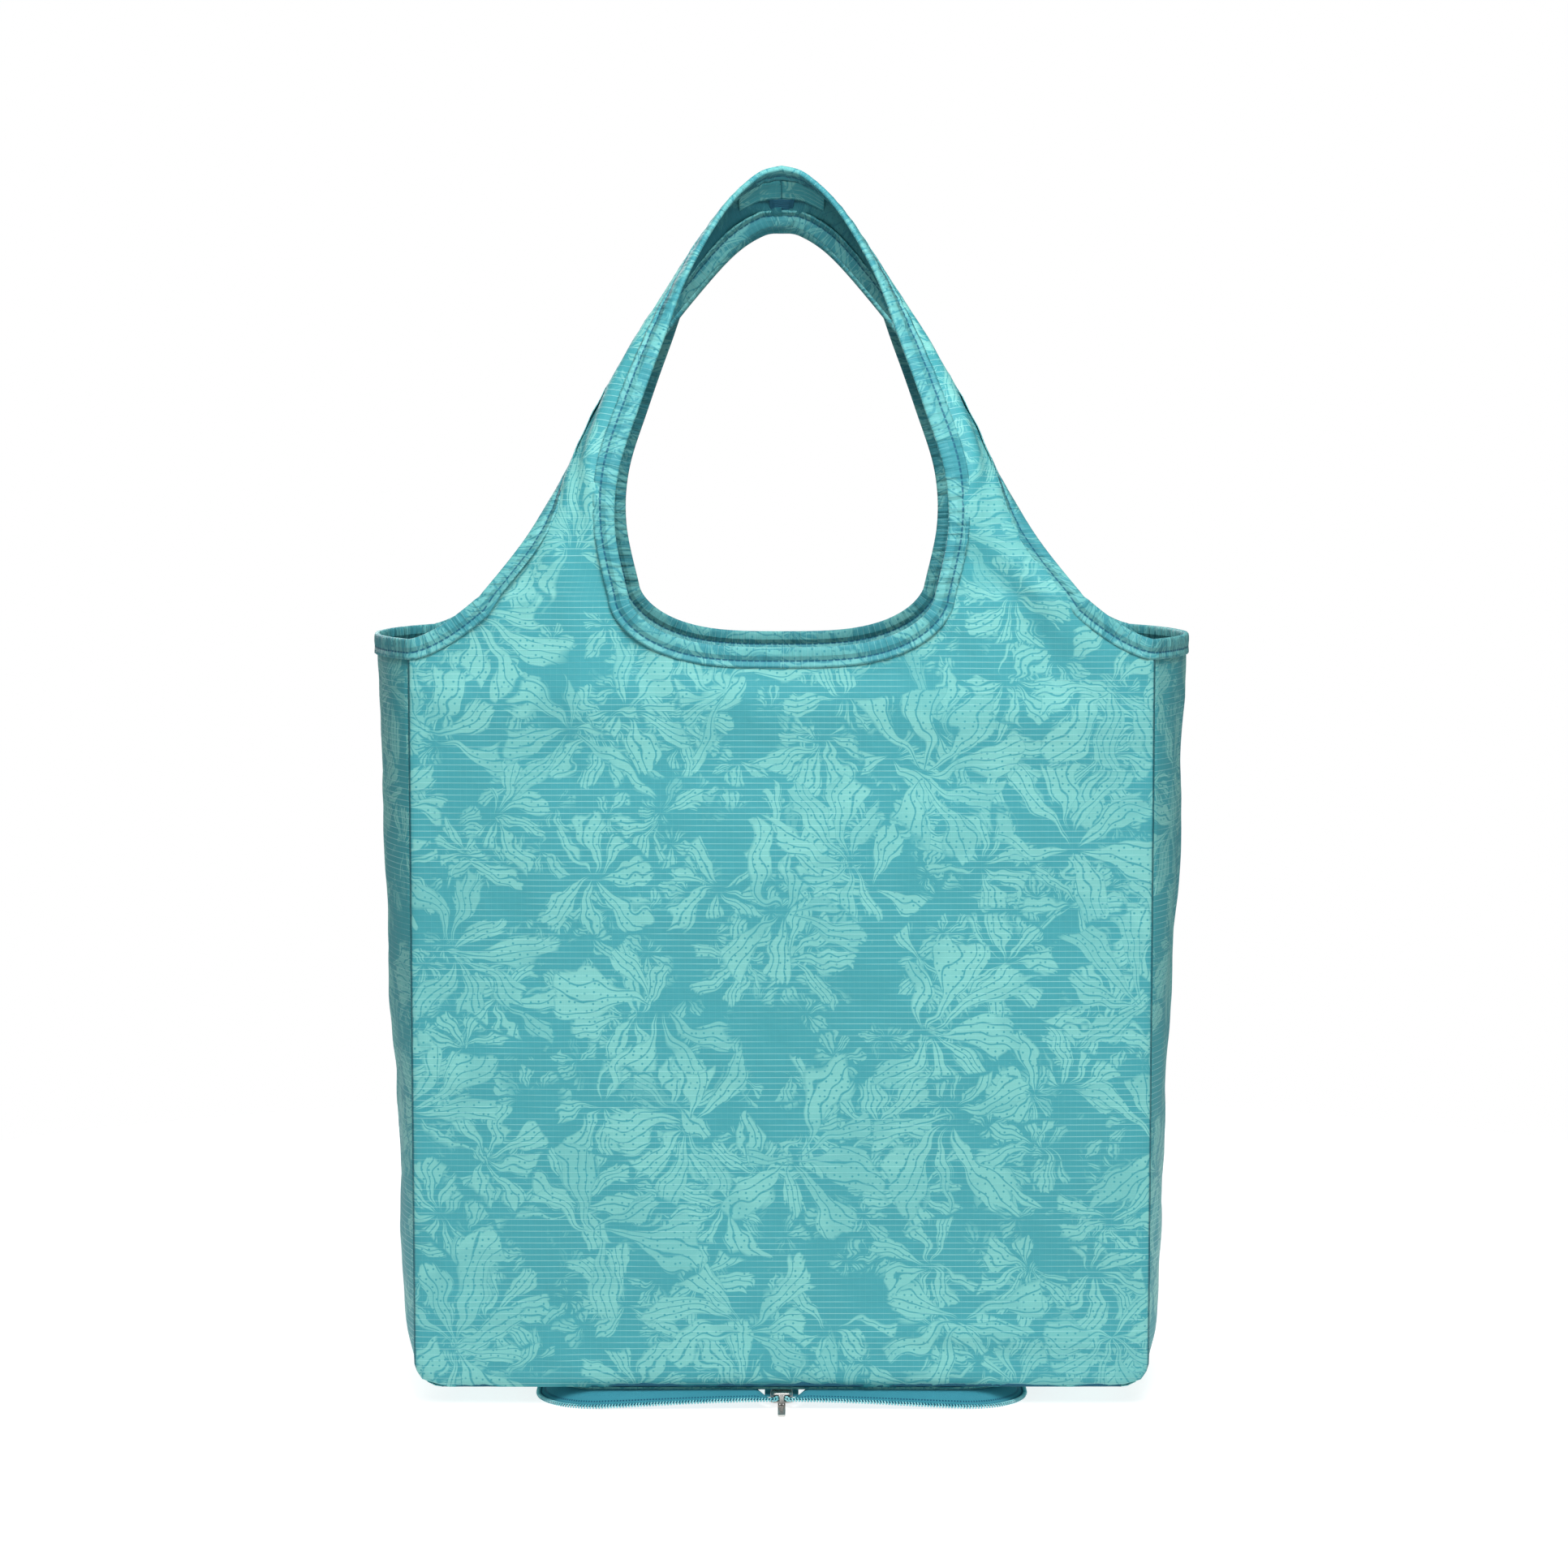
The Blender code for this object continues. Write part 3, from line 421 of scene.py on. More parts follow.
def metal_finish(name, tone, wear, roughness):
    """Satin nickel plate with fine scratches and duller patches."""
    paint = Finish(name, roughness, Metallic=1.0)
    place = paint.node("TexCoord", {}, {}, 3)
    x, y, z = paint.split(place)
    brushed = paint.join_xyz(x * 9.0, y, z * 9.0)
    scratch = paint.cloud(brushed, 0.0016, 3.0)
    patches = paint.cloud(place, 0.0035, 2.0)
    colour = paint.mix(soft_step(patches, 0.55, 0.3), linear(*tone), linear(*wear))
    rough = roughness + (scratch - 0.5) * 0.25 + (patches - 0.5) * 0.12
    paint.set(Base_Color=colour, Roughness=rough, Normal=paint.bump(scratch, 0.00004))
    return paint.material


OUTSIDE = cloth_finish("ripstop_printed", (68, 152, 160), (122, 191, 186), (158, 214, 212), 0.95)
# The cloth's reverse side: partly its own duller print, partly painted shade. Its colours are
# darkened to stand in for the shade on the handles' undersides and inside the bag.
SHADED_INSIDE = cloth_finish("ripstop_inside_painted_shade", (44, 112, 124), (70, 142, 144), (76, 136, 144), 0.7)
TRIM = cloth_finish(
    "ripstop_binding", (64, 142, 152), (110, 182, 180), (126, 188, 190), 0.85, True, 1.6
)
TAPE = tape_finish("seam_tape_weave", (34, 96, 118), (18, 66, 92), 0.0009, 0.004, -1.0)
ZIP_TAPE = tape_finish(
    "zip_tape_weave", (62, 150, 168), (38, 118, 140), 0.0007, 0.0030, 0.0014
)
COIL = coil_finish()
THREAD = thread_finish()
NICKEL = metal_finish("nickel_satin", (196, 194, 190), (150, 148, 146), 0.30)
BRIGHT_NICKEL = metal_finish("nickel_bright", (216, 214, 210), (176, 174, 170), 0.24)


# ---------------------------------------------------------------- mesh helpers


def blend(a, b, share):
    return a + (b - a) * share


def ease(share):
    share = min(1.0, max(0.0, share))
    return share * share * (3 - 2 * share)


def steps(count):
    return [k / count for k in range(count + 1)]


def make(name, shape, materials, wall=0.0, offset=-1.0, weld=0.00001):
    """Makes a piece of a bmesh drawn round the bag's own middle, and welds its doubles."""
    bmesh.ops.remove_doubles(shape, verts=shape.verts, dist=weld)
    bmesh.ops.translate(shape, verts=shape.verts, vec=(0, MIDDLE, 0))
    mesh = bpy.data.meshes.new(name)
    shape.to_mesh(mesh)
    shape.free()
    mesh.shade_smooth()
    for material in materials:
        mesh.materials.append(material)
    piece = bpy.data.objects.new(name, mesh)
    bpy.context.collection.objects.link(piece)
    if wall:
        thick = piece.modifiers.new("wall", "SOLIDIFY")
        thick.thickness = wall
        thick.offset = offset
        thick.use_even_offset = False
        if len(materials) > 1:
            thick.material_offset = 1
    return piece


def grid(across, along, point, cut):
    """A bmesh grid laid on point(u, v), its UVs from cut(u, v) in metres, u and v both 0 to 1."""
    shape = bmesh.new()
    bmesh.ops.create_grid(shape, x_segments=across, y_segments=along, size=0.5)
    flat = shape.loops.layers.uv.new("cut")
    for face in shape.faces:
        for loop in face.loops:
            loop[flat].uv = cut(loop.vert.co.x + 0.5, loop.vert.co.y + 0.5)
    for vert in shape.verts:
        vert.co = point(vert.co.x + 0.5, vert.co.y + 0.5)
    return shape


def merge(shapes):
    """Joins bmeshes into the first."""
    first = shapes[0]
    for other in shapes[1:]:
        mesh = bpy.data.meshes.new("part")
        other.to_mesh(mesh)
        first.from_mesh(mesh)
        bpy.data.meshes.remove(mesh)
        other.free()
    return first


def face_out(shape, middle):
    """Turns an open sheet's faces away from a point inside the bag."""
    bmesh.ops.recalc_face_normals(shape, faces=shape.faces)
    total = sum(f.normal.dot(f.calc_center_median() - middle) * f.calc_area() for f in shape.faces)
    if total < 0:
        bmesh.ops.reverse_faces(shape, faces=shape.faces)


# ---------------------------------------------------------------- where the cloth lies


def neckline(share):
    turn = share * math.pi / 2
    x = NECK_FOOT * math.sin(turn) ** 0.625
    return x, NECK + (FOLD - NECK) * (1 - max(0.0, math.cos(turn)) ** 1.25)


def side_edge(share):
    return blend(SIDE_FOOT, WALL_X, share), blend(HEM, FOLD, (1 - share) ** 1.5)


def handle_row(share):
    last = len(HANDLE_ROWS) - 1
    at = share * last
    k = min(int(at), last - 1)
    t = at - k
    rows = [HANDLE_ROWS[min(last, max(0, k + d))] for d in (-1, 0, 1, 2)]
    found = []
    for a, b, c, d in zip(*rows):
        curve = 2 * b + (c - a) * t + (2 * a - 5 * b + 4 * c - d) * t * t
        found.append((curve + (3 * b - a - 3 * c + d) * t ** 3) / 2)
    return found


def strap_point(share, across, side, facing, drop):
    """A point of a strap's middle surface: up the strap by share, across from the neck edge."""
    rise, spread, lean, turn, droop, width, crown = handle_row(share)
    turn, droop = math.radians(turn), math.radians(droop)
    neck = Vector((spread * NECK_HALF, -WALL_Y + lean * HANDLE_LEAN, 0))
    neck.z = FOLD + rise * (HANDLE_RISE - drop)
    reach = Vector((math.cos(turn) * math.cos(droop), math.sin(turn) * math.cos(droop), 0))
    reach.z = -math.sin(droop)
    out = Vector((math.sin(turn), -math.cos(turn) * (1 - share), share)).normalized()
    out -= reach * out.dot(reach)
    point = neck + reach * width * across + out.normalized() * crown * 4 * across * (1 - across)
    return Vector((side * max(point.x, 0.0), -facing * point.y, point.z))


def strap_offset(share, across, lift, side, facing, drop):
    """A point that stands off a strap's middle surface by lift, outwards if it is positive."""
    step = 0.004
    centre = strap_point(share, across, side, facing, drop)
    over = strap_point(share, across + step, side, facing, drop)
    run = over - strap_point(share, across - step, side, facing, drop)
    ahead = strap_point(min(1.0, share + step), across, side, facing, drop)
    climb = ahead - strap_point(max(0.0, share - step), across, side, facing, drop)
    if share > 0.999:
        climb = Vector((-side, 0, 0))
        run.x = 0.0
    if share < 0.001:
        climb = Vector((0, 0, 1))
    normal = run.cross(climb).normalized() * side * -facing
    point = centre + normal * lift
    if share > 0.999:
        point.x = 0.0
    return point


def strap_width(share):
    width, crown = handle_row(share)[5:]
    return width * (1 + 8 / 3 * (crown / width) ** 2)


def strap_cut(share, across, side, facing):
    """The place on the cut cloth of a point of a strap, which runs straight up from the fold."""
    centre = NECK_FOOT + STRAP_FOOT / 2 - 0.010 * ease(share / 0.3)
    x = side * (centre + (across - 0.5) * strap_width(share))
    return x + (facing + 1) / 2 * BACK_CUT, FOLD + share * STRAP_RUN


def fold_relief(folds, x, z):
    """The height of the soft folds at a place on a panel."""
    total = 0.0
    for (x0, z0), (x1, z1), width, height in folds:
        dx, dz = x1 - x0, z1 - z0
        length = math.hypot(dx, dz)
        along = ((x - x0) * dx + (z - z0) * dz) / length / length
        off = ((x - x0) * dz - (z - z0) * dx) / length
        off += 0.35 * width * math.sin(along * 5.0)
        if -0.4 < along < 1.4 and abs(off) < 3 * width:
            ends = ease((along + 0.3) / 0.5) * ease((1.3 - along) / 0.5)
            total += height * ends * math.exp(-(off / width) ** 2)
    return total


def crumple(x, z, seed, size):
    return noise.fractal(Vector((x / size, z / size, seed)), 1.0, 2.0, 3)


def panel_relief(folds, x, z, seed):
    """How far a panel's cloth stands out at a place, all its folds and puckers together."""
    side = max(0.0, abs(x) - (WALL_X - 0.030)) / 0.030
    low = max(0.0, BASE + 0.030 - z) / 0.030
    broad = 0.0016 * crumple(x, z * 0.8, seed, 0.085)
    fine = 0.00045 * crumple(x, z, seed + 7, 0.018) * (0.35 + side + low)
    pucker = math.sin(z * 2 * math.pi / 0.0105 + 3 * crumple(0, z, seed, 0.05))
    fine += 0.00042 * pucker * side ** 2
    ripple = math.sin(x * 2 * math.pi / 0.013 + 3 * crumple(x, 0, seed + 3, 0.05))
    fine += 0.00022 * ripple * low ** 2
    belly = 0.0030 * math.sin(math.pi * min(1.0, max(0.0, (z - BASE) / (HEM - BASE)))) ** 0.8
    belly *= 1 - min(1.0, abs(x) / WALL_X) ** 2
    free = ease((WALL_X - abs(x)) / 0.016) * ease((z - BASE) / 0.012)
    return (fold_relief(folds, x, z) + broad + belly) * free + fine


def strap_free(across):
    """1 over the middle of a strap and 0 at its two bound edges."""
    return ease((1 - abs(2 * across - 1)) * 2.5)


def relief(folds, x, z, seed):
    """How far the cloth stands out anywhere on a panel or strap."""
    up = ease((z - FOLD) / 0.055)
    low = panel_relief(folds, x, min(z, FOLD + 0.055), seed)
    if up == 0:
        return low
    wave = math.sin(abs(x) * 2 * math.pi / 0.019 + 3 * crumple(0, z, seed, 0.07))
    crease = 0.0010 * crumple(x * 2.6, z, seed + 5, 0.034)
    return low * (1 - up) + (0.0010 * wave + crease) * up


def seam_turn(x, z):
    """How far a panel's edge turns in towards its side and base seams."""
    near = max(0.0, 1 - (edge_x(z) - abs(x)) / SEAM_TURN)
    under = max(0.0, 1 - (z - BASE) / SEAM_TURN)
    return 0.0017 * min(1.0, near) ** 2 + 0.0017 * min(1.0, under) ** 2


def edge_x(z):
    """Half of the panel's width at a height, with its rounded lower corners."""
    up = min(1.0, max(0.0, (z - BASE) / CORNER))
    return WALL_X - CORNER + CORNER * math.sqrt(max(0.0, 1 - (1 - up) ** 2))


# ---------------------------------------------------------------- panels with their straps


def top_columns():
    """The panel's columns from left to right, as the place where each ends at the top."""
    half = []
    for x in (WALL_X, WALL_X - SEAM_TURN * 0.4, WALL_X - SEAM_TURN):
        share = (x - SIDE_FOOT) / (WALL_X - SIDE_FOOT)
        half.append(side_edge(share))
    first = (WALL_X - SEAM_TURN - SIDE_FOOT) / (WALL_X - SIDE_FOOT)
    half += [side_edge(first * (1 - s)) for s in steps(9)[1:]]
    half += [(NECK_FOOT + STRAP_FOOT * (1 - s), FOLD) for s in steps(STRAP_COLUMNS)[1:]]
    half += [neckline(1 - s) for s in steps(18)[1:]]
    return [(-x, z) for x, z in half] + [(x, z) for x, z in reversed(half[:-1])]


def panel_cloth(name, facing, drop, folds, seed):
    """A panel and its two straps as one cut of cloth, stitched to itself at the apex."""
    columns = top_columns()
    last = len(columns) - 1
    rows = 96

    def place(u, v):
        x, top = columns[round(u * last)]
        z = BASE + (top - BASE) * v
        even = (2 * u - 1) * WALL_X
        edge = abs(x) > SIDE_FOOT
        x = x if edge else blend(even * 0.86, x, ease(v * 1.25) ** 2)
        return x * edge_x(z) / WALL_X, z

    def point(u, v):
        x, z = place(u, v)
        free = blend(strap_free((abs(x) - NECK_FOOT) / STRAP_FOOT), 1.0, ease((1.0 - v) * 14))
        lift = FACE + relief(folds, x, z, seed) * free
        return Vector((x, facing * (WALL_Y + lift - seam_turn(x, z)), z))

    def cut(u, v):
        x, z = place(u, v)
        return x + (facing + 1) / 2 * BACK_CUT, z

    shapes = [grid(last, rows, point, cut)]
    for side in (-1, 1):

        def strap(u, v, side=side):
            x, z = strap_cut(v, u, side, -1)
            lift = FACE + relief(folds, x, z, seed) * strap_free(u)
            return strap_offset(v, u, lift, side, facing, drop)

        def strap_flat(u, v, side=side):
            return strap_cut(v, u, side, facing)

        shapes.append(grid(STRAP_COLUMNS, 76, strap, strap_flat))
    shape = merge(shapes)
    bmesh.ops.remove_doubles(shape, verts=shape.verts, dist=0.00002)
    face_out(shape, Vector((0, 0, 0.25)))
    return make(name, shape, (OUTSIDE, SHADED_INSIDE), WALL, weld=0.00002)


# ---------------------------------------------------------------- gussets and base


def side_path(share):
    """The gusset's run, as (x, z), from the base seam up to the hem."""
    arc = CORNER * math.pi / 2
    run = share * (arc + HEM - BASE - CORNER)
    if run <= arc:
        turn = run / CORNER
        return WALL_X - CORNER + CORNER * math.sin(turn), BASE + CORNER * (1 - math.cos(turn))
    return WALL_X, BASE + CORNER + run - arc


def swell(z, across):
    """How far a gusset stands out past its seams."""
    top = blend(0.0100, 0.0215, ease((z - BASE) / 0.375))
    return top * ease((z - BASE) / 0.028) * (1 - across * across)


def gusset_point(side, u, v, seed):
    x, z = side_path(v)
    y = (2 * u - 1) * (WALL_Y - 0.0011)
    across = 2 * u - 1
    free = 1 - across * across
    relief = 0.0022 * crumple(y * 1.4, z, seed, 0.060) * free
    relief += 0.0010 * math.sin(across * 5.0 + 2.0 * crumple(0, z, seed, 0.12)) * free
    near = ease((abs(across) - 0.72) / 0.28)
    relief += 0.0005 * math.sin(z * 2 * math.pi / 0.0105 + seed) * near * (1 - near)
    relief *= ease((HEM - z) / 0.02) * ease((z - BASE) / 0.03)
    lean = ease(min(1.0, (z - BASE) / CORNER))
    out = x - 0.0010 * near + (swell(z, across) + relief) * lean
    return Vector((side * out, y, z))


def gusset_cloth(name, side, seed):
    def cut(u, v):
        return (2 * u - 1) * WALL_Y + side * GUSSET_CUT, v * 0.39

    shape = grid(26, 96, lambda u, v: gusset_point(side, u, v, seed), cut)
    face_out(shape, Vector((0, 0, 0.2)))
    return make(name, shape, (OUTSIDE, SHADED_INSIDE), WALL)


def base_cloth():
    def point(u, v):
        x = (2 * u - 1) * (WALL_X - CORNER)
        y = (2 * v - 1) * (WALL_Y - 0.0016)
        ripple = 0.0004 * crumple(x, y, 3.0, 0.04) * (1 - abs(2 * u - 1) ** 6)
        return Vector((x, y, BASE + 0.0003 + ripple * (1 - abs(2 * v - 1) ** 6)))

    shape = grid(60, 28, point, lambda u, v: (u * 0.342 + BASE_CUT, v * 0.14))
    face_out(shape, Vector((0, 0, 0.25)))
    return make("base_cloth", shape, (OUTSIDE, SHADED_INSIDE), WALL)


# ---------------------------------------------------------------- bindings


def edge_frame(at, inward, normal):
    """The point at a, into the cloth from its edge, and b, off its face."""
    return lambda a, b: at + inward * a + normal * b


def neck_stations(facing, drop):
    """The neck's edge once round: along the panel's low curve, up a strap, over and down."""
    stations = []
    for side in (1, -1):
        low = []
        for share in steps(24):
            x, z = neckline(share)
            ahead = neckline(min(1.0, share + 0.02))
            behind = neckline(max(0.0, share - 0.02))
            run = Vector((ahead[0] - behind[0], 0, ahead[1] - behind[1])).normalized()
            if share < 0.001:
                run = Vector((1, 0, 0))
            if share > 0.999:
                run = Vector((0, 0, 1))
            inward = Vector((side * run.z, 0, -run.x))
            at = Vector((side * x, facing * WALL_Y, z))
            low.append(edge_frame(at, inward, Vector((0, facing, 0))))
        high = [strap_frame(share, side, facing, drop, False) for share in steps(70)[1:]]
        half = low + high
        stations += half[:-1] if side == 1 else list(reversed(half))
    return stations


def strap_frame(share, side, facing, drop, far_edge):
    width = strap_width(share)

    def at(a, b):
        across = a / width
        return strap_offset(share, 1 - across if far_edge else across, b, side, facing, drop)

    return at


def side_stations(facing, drop):
    """A handle's far edge: from one gusset's middle up to the apex and down to the other's."""
    stations = []
    for side in (-1, 1):
        half = []
        for share in steps(18):
            u = 0.5 + facing * 0.5 * share
            at = gusset_point(side, u, 1.0, 0.0)
            beside = gusset_point(side, u + 0.01, 1.0, 0.0) - gusset_point(side, u - 0.01, 1.0, 0.0)
            normal = Vector((beside.y, -beside.x, 0)).normalized() * side
            turn = ease((share - 0.93) / 0.07)
            normal = (normal * (1 - turn) + Vector((side, facing, 0)) * turn).normalized()
            half.append(edge_frame(at, Vector((0, 0, -1)), normal))
        for share in steps(16)[1:]:
            x, z = side_edge(1 - share)
            ahead, behind = side_edge(max(0.0, 0.98 - share)), side_edge(min(1.0, 1.02 - share))
            run = Vector((ahead[0] - behind[0], 0, ahead[1] - behind[1])).normalized()
            inward = Vector((side * -abs(run.z), 0, -abs(run.x)))
            if share > 0.999:
                inward = Vector((-side, 0, 0))
            at = Vector((side * x, facing * WALL_Y, z))
            half.append(edge_frame(at, inward, Vector((0, facing, 0))))
        half += [strap_frame(share, side, facing, drop, True) for share in steps(70)[1:]]
        stations += half[:-1] if side == -1 else list(reversed(half))
    return stations


def binding(name, stations, shift, seed):
    """A strip folded over the cloth's edge, slightly gathered by its stitching."""
    lengths = [0.0]
    for first, second in zip(stations, stations[1:]):
        lengths.append(lengths[-1] + (second(0, 0) - first(0, 0)).length)
    last = len(stations) - 1
    spans = (-1.0, -0.86, -0.70, -0.62, -0.40, -0.20, -0.10, -0.05)
    spans = spans + (0.0,) + tuple(-s for s in reversed(spans))

    def section(s, run):
        gather = 0.00022 * math.sin(run * 2 * math.pi / 0.0062 + seed + 2 * math.sin(run * 60))
        gather *= ease(run / 0.012) * ease((lengths[-1] - run) / 0.012)
        swell_out = 0.00022 * (1 - abs(s)) + gather * min(1.0, abs(s) * 2)
        stitch = 0.00028 * math.exp(-((abs(s) - 0.66) / 0.07) ** 2)
        if abs(s) < 0.101:
            turn = s / 0.10 * math.pi / 2
            return -0.0004 - 0.0006 * math.cos(turn), 0.0011 * math.sin(turn)
        a = BINDING * (abs(s) - 0.10) / 0.90 - 0.0004
        return a, math.copysign(0.0011 + swell_out - stitch, s)

    def point(u, v):
        k = round(v * last)
        return stations[k](*section(spans[round(u * 16)], lengths[k]))

    def cut(u, v):
        return spans[round(u * 16)] * BINDING, lengths[round(v * last)] + shift

    shape = grid(16, last, point, cut)
    bmesh.ops.recalc_face_normals(shape, faces=shape.faces)
    return make(name, shape, (TRIM,), 0.00035, 0.0, weld=0.00001)


# ---------------------------------------------------------------- apex


def under_strip(name, near, far, reach, facing, drop, material, lift):
    """A strip stitched under a handle's apex, from near to far across the strap."""

    def point(u, v):
        along = (2 * u - 1) * reach
        side = 1 if along >= 0 else -1
        share = 1 - abs(along) / APEX_RUN
        sag = 0.00025 * crumple(along, v * 0.02, facing, 0.008)
        edge = 0.0003 * (abs(2 * u - 1) ** 6 + abs(2 * v - 1) ** 6)
        across = blend(near, far, v) / STRAP
        return strap_offset(share, across, -(lift + sag - edge), side, facing, drop)

    def cut(u, v):
        return (2 * u - 1) * reach + PATCH_CUT, blend(near, far, v)

    shape = grid(24, 12, point, cut)
    bmesh.ops.recalc_face_normals(shape, faces=shape.faces)
    return make(name, shape, (material,), 0.00045, 0.0)


def bartack(name, facing, drop):
    """A dense zig-zag of thread over the binding at the apex."""
    count = 22
    path = []
    for k in range(count + 1):
        x = blend(-0.0036, 0.0036, k / count)
        path.append((x, 0.0010 if k % 2 else 0.0055))
    lift = FACE + 0.0010

    def centre(v):
        at = v * count
        k = min(int(at), count - 1)
        x = blend(path[k][0], path[k + 1][0], at - k)
        a = blend(path[k][1], path[k + 1][1], at - k)
        point = strap_offset(1.0, a / STRAP, lift + 0.0002, 1, facing, drop)
        return Vector((x, point.y, point.z - abs(x) * 0.35))

    def point(u, v):
        turn = 2 * math.pi * u
        return centre(v) + Vector((0.00022 * math.cos(turn), 0, 0.00022 * math.sin(turn)))

    shape = grid(6, count * 4, point, lambda u, v: (u * 0.001, v * 0.11))
    bmesh.ops.remove_doubles(shape, verts=shape.verts, dist=0.00001)
    bmesh.ops.holes_fill(shape, edges=shape.edges, sides=8)
    bmesh.ops.recalc_face_normals(shape, faces=shape.faces)
    return make(name, shape, (THREAD,))


# ---------------------------------------------------------------- seam tapes


def seam_tape(node, long_axis):
    """A folded tape with soft edges in the box of its CAD node."""
    low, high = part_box(node)
    low.y -= MIDDLE
    high.y -= MIDDLE
    middle, half = (low + high) / 2, (high - low) / 2
    others = [k for k in range(3) if k != long_axis]
    count = max(20, int(2 * half[long_axis] / 0.006))

    def point(u, v):
        turn = 2 * math.pi * u
        along = (2 * v - 1) * (half[long_axis] - 0.0002)
        made = middle.copy()
        made[long_axis] += along
        gather = 0.92 + 0.08 * math.sin(along * 2 * math.pi / 0.013 + middle.x * 90)
        for k, wave in zip(others, (math.cos(turn), math.sin(turn))):
            power = 0.35 if half[k] > 0.002 else 0.8
            squeeze = gather if half[k] < 0.002 else 0.985
            made[k] += half[k] * squeeze * math.copysign(abs(wave) ** power, wave)
        return made

    shape = grid(16, count, point, lambda u, v: (u * 0.018, v * 2 * half[long_axis]))
    bmesh.ops.remove_doubles(shape, verts=shape.verts, dist=0.00001)
    bmesh.ops.holes_fill(shape, edges=shape.edges, sides=0)
    bmesh.ops.recalc_face_normals(shape, faces=shape.faces)
    return make(node + "_cloth", shape, (TAPE,))


# ---------------------------------------------------------------- pouch and zip

COIL_RADIUS = 0.0012
RING_X, RING_Y = 0.1238, 0.0763
RING_CORNER = 0.0328
TURN = 0.003
TAIL_X = 0.0025
SLIDER_FRONT = -0.0733
TAIL = 0.0245
COIL_HIGH = 0.00515
POUCH_Z = 0.0082
POUCH_X, POUCH_Y = 0.1148, 0.0673
POUCH_CORNER = 0.0235
POUCH_HEM = 0.0042


def ring_path():
    """Half of the zip's run, as points of (x, y) with the way into the tape and the run so far."""
    marks = [((TAIL_X, SLIDER_FRONT + TAIL * (1 - s)), (1.0, 0.0)) for s in steps(16)]
    for share in steps(8)[1:]:
        turn = math.pi / 2 * share
        way = (math.cos(turn), math.sin(turn))
        marks.append(((TAIL_X + TURN * (1 - way[0]), SLIDER_FRONT - TURN * way[1]), way))
    straight = RING_X - RING_CORNER
    start = TAIL_X + TURN
    marks += [((blend(start, straight, s), -RING_Y), (0.0, 1.0)) for s in steps(40)[1:]]
    for share in steps(20)[1:]:
        turn = math.pi / 2 * share
        x = straight + RING_CORNER * math.sin(turn)
        y = -RING_Y + RING_CORNER * (1 - math.cos(turn))
        marks.append(((x, y), (-math.sin(turn), math.cos(turn))))
    reach = RING_Y - RING_CORNER
    marks += [((RING_X, blend(-reach, reach, s)), (-1.0, 0.0)) for s in steps(28)[1:]]
    for share in steps(20)[1:]:
        turn = math.pi / 2 * share
        x = straight + RING_CORNER * math.cos(turn)
        y = reach + RING_CORNER * math.sin(turn)
        marks.append(((x, y), (-math.cos(turn), -math.sin(turn))))
    marks += [((blend(straight, 0.0088, s), RING_Y), (0.0, -1.0)) for s in steps(34)[1:]]
    runs = [0.0]
    for (first, _), (second, _) in zip(marks, marks[1:]):
        runs.append(runs[-1] + math.dist(first, second))
    return marks, runs


def coil_height(x, y):
    away = math.hypot(x, y - SLIDER_FRONT) - 2 * TURN
    in_tail = y > SLIDER_FRONT and x < 2 * TAIL_X
    return COIL_HIGH if in_tail else blend(COIL_HIGH, COIL_RADIUS, ease(away / 0.110))


RING, RUNS = ring_path()


def ring_at(run):
    """The coil's centre and the way into its tape at a run along it."""
    low, high = 0, len(RUNS) - 2
    while low < high:
        k = (low + high + 1) // 2
        if RUNS[k] <= run:
            low = k
        else:
            high = k - 1
    k = low
    t = (run - RUNS[k]) / (RUNS[k + 1] - RUNS[k])
    (first, way), (second, next_way) = RING[k], RING[k + 1]
    x, y = blend(first[0], second[0], t), blend(first[1], second[1], t)
    heading = Vector((blend(way[0], next_way[0], t), blend(way[1], next_way[1], t), 0))
    return Vector((x, y, coil_height(x, y))), heading.normalized()


def mirrored(point, side):
    return Vector((side * point.x, point.y, point.z))


def zip_coil(name, side):
    """The coil as one spiral of monofilament with a loop every 1.5 mm."""
    pitch, turns_points = 0.0015, 9
    count = int(RUNS[-1] / pitch) * turns_points
    wire = 0.00034

    def centre(v):
        run = v * RUNS[-1]
        at, way = ring_at(run)
        phase = 2 * math.pi * run / pitch
        round_out = (COIL_RADIUS - wire) * math.cos(phase)
        return at + way * round_out + Vector((0, 0, (COIL_RADIUS - wire) * math.sin(phase)))

    def point(u, v):
        here = centre(v)
        ahead = centre(min(1.0, v + 0.2 / count)) - centre(max(0.0, v - 0.2 / count))
        ahead.normalize()
        first = ahead.cross(Vector((0, 0, 1)) if abs(ahead.z) < 0.9 else Vector((1, 0, 0)))
        first.normalize()
        second = ahead.cross(first)
        turn = 2 * math.pi * u
        return mirrored(here + (first * math.cos(turn) + second * math.sin(turn)) * wire, side)

    shape = grid(5, count, point, lambda u, v: (u * 0.002, v * RUNS[-1]))
    bmesh.ops.remove_doubles(shape, verts=shape.verts, dist=0.000005)
    bmesh.ops.holes_fill(shape, edges=shape.edges, sides=6)
    bmesh.ops.recalc_face_normals(shape, faces=shape.faces)
    return make(name, shape, (COIL,), weld=0.000005)


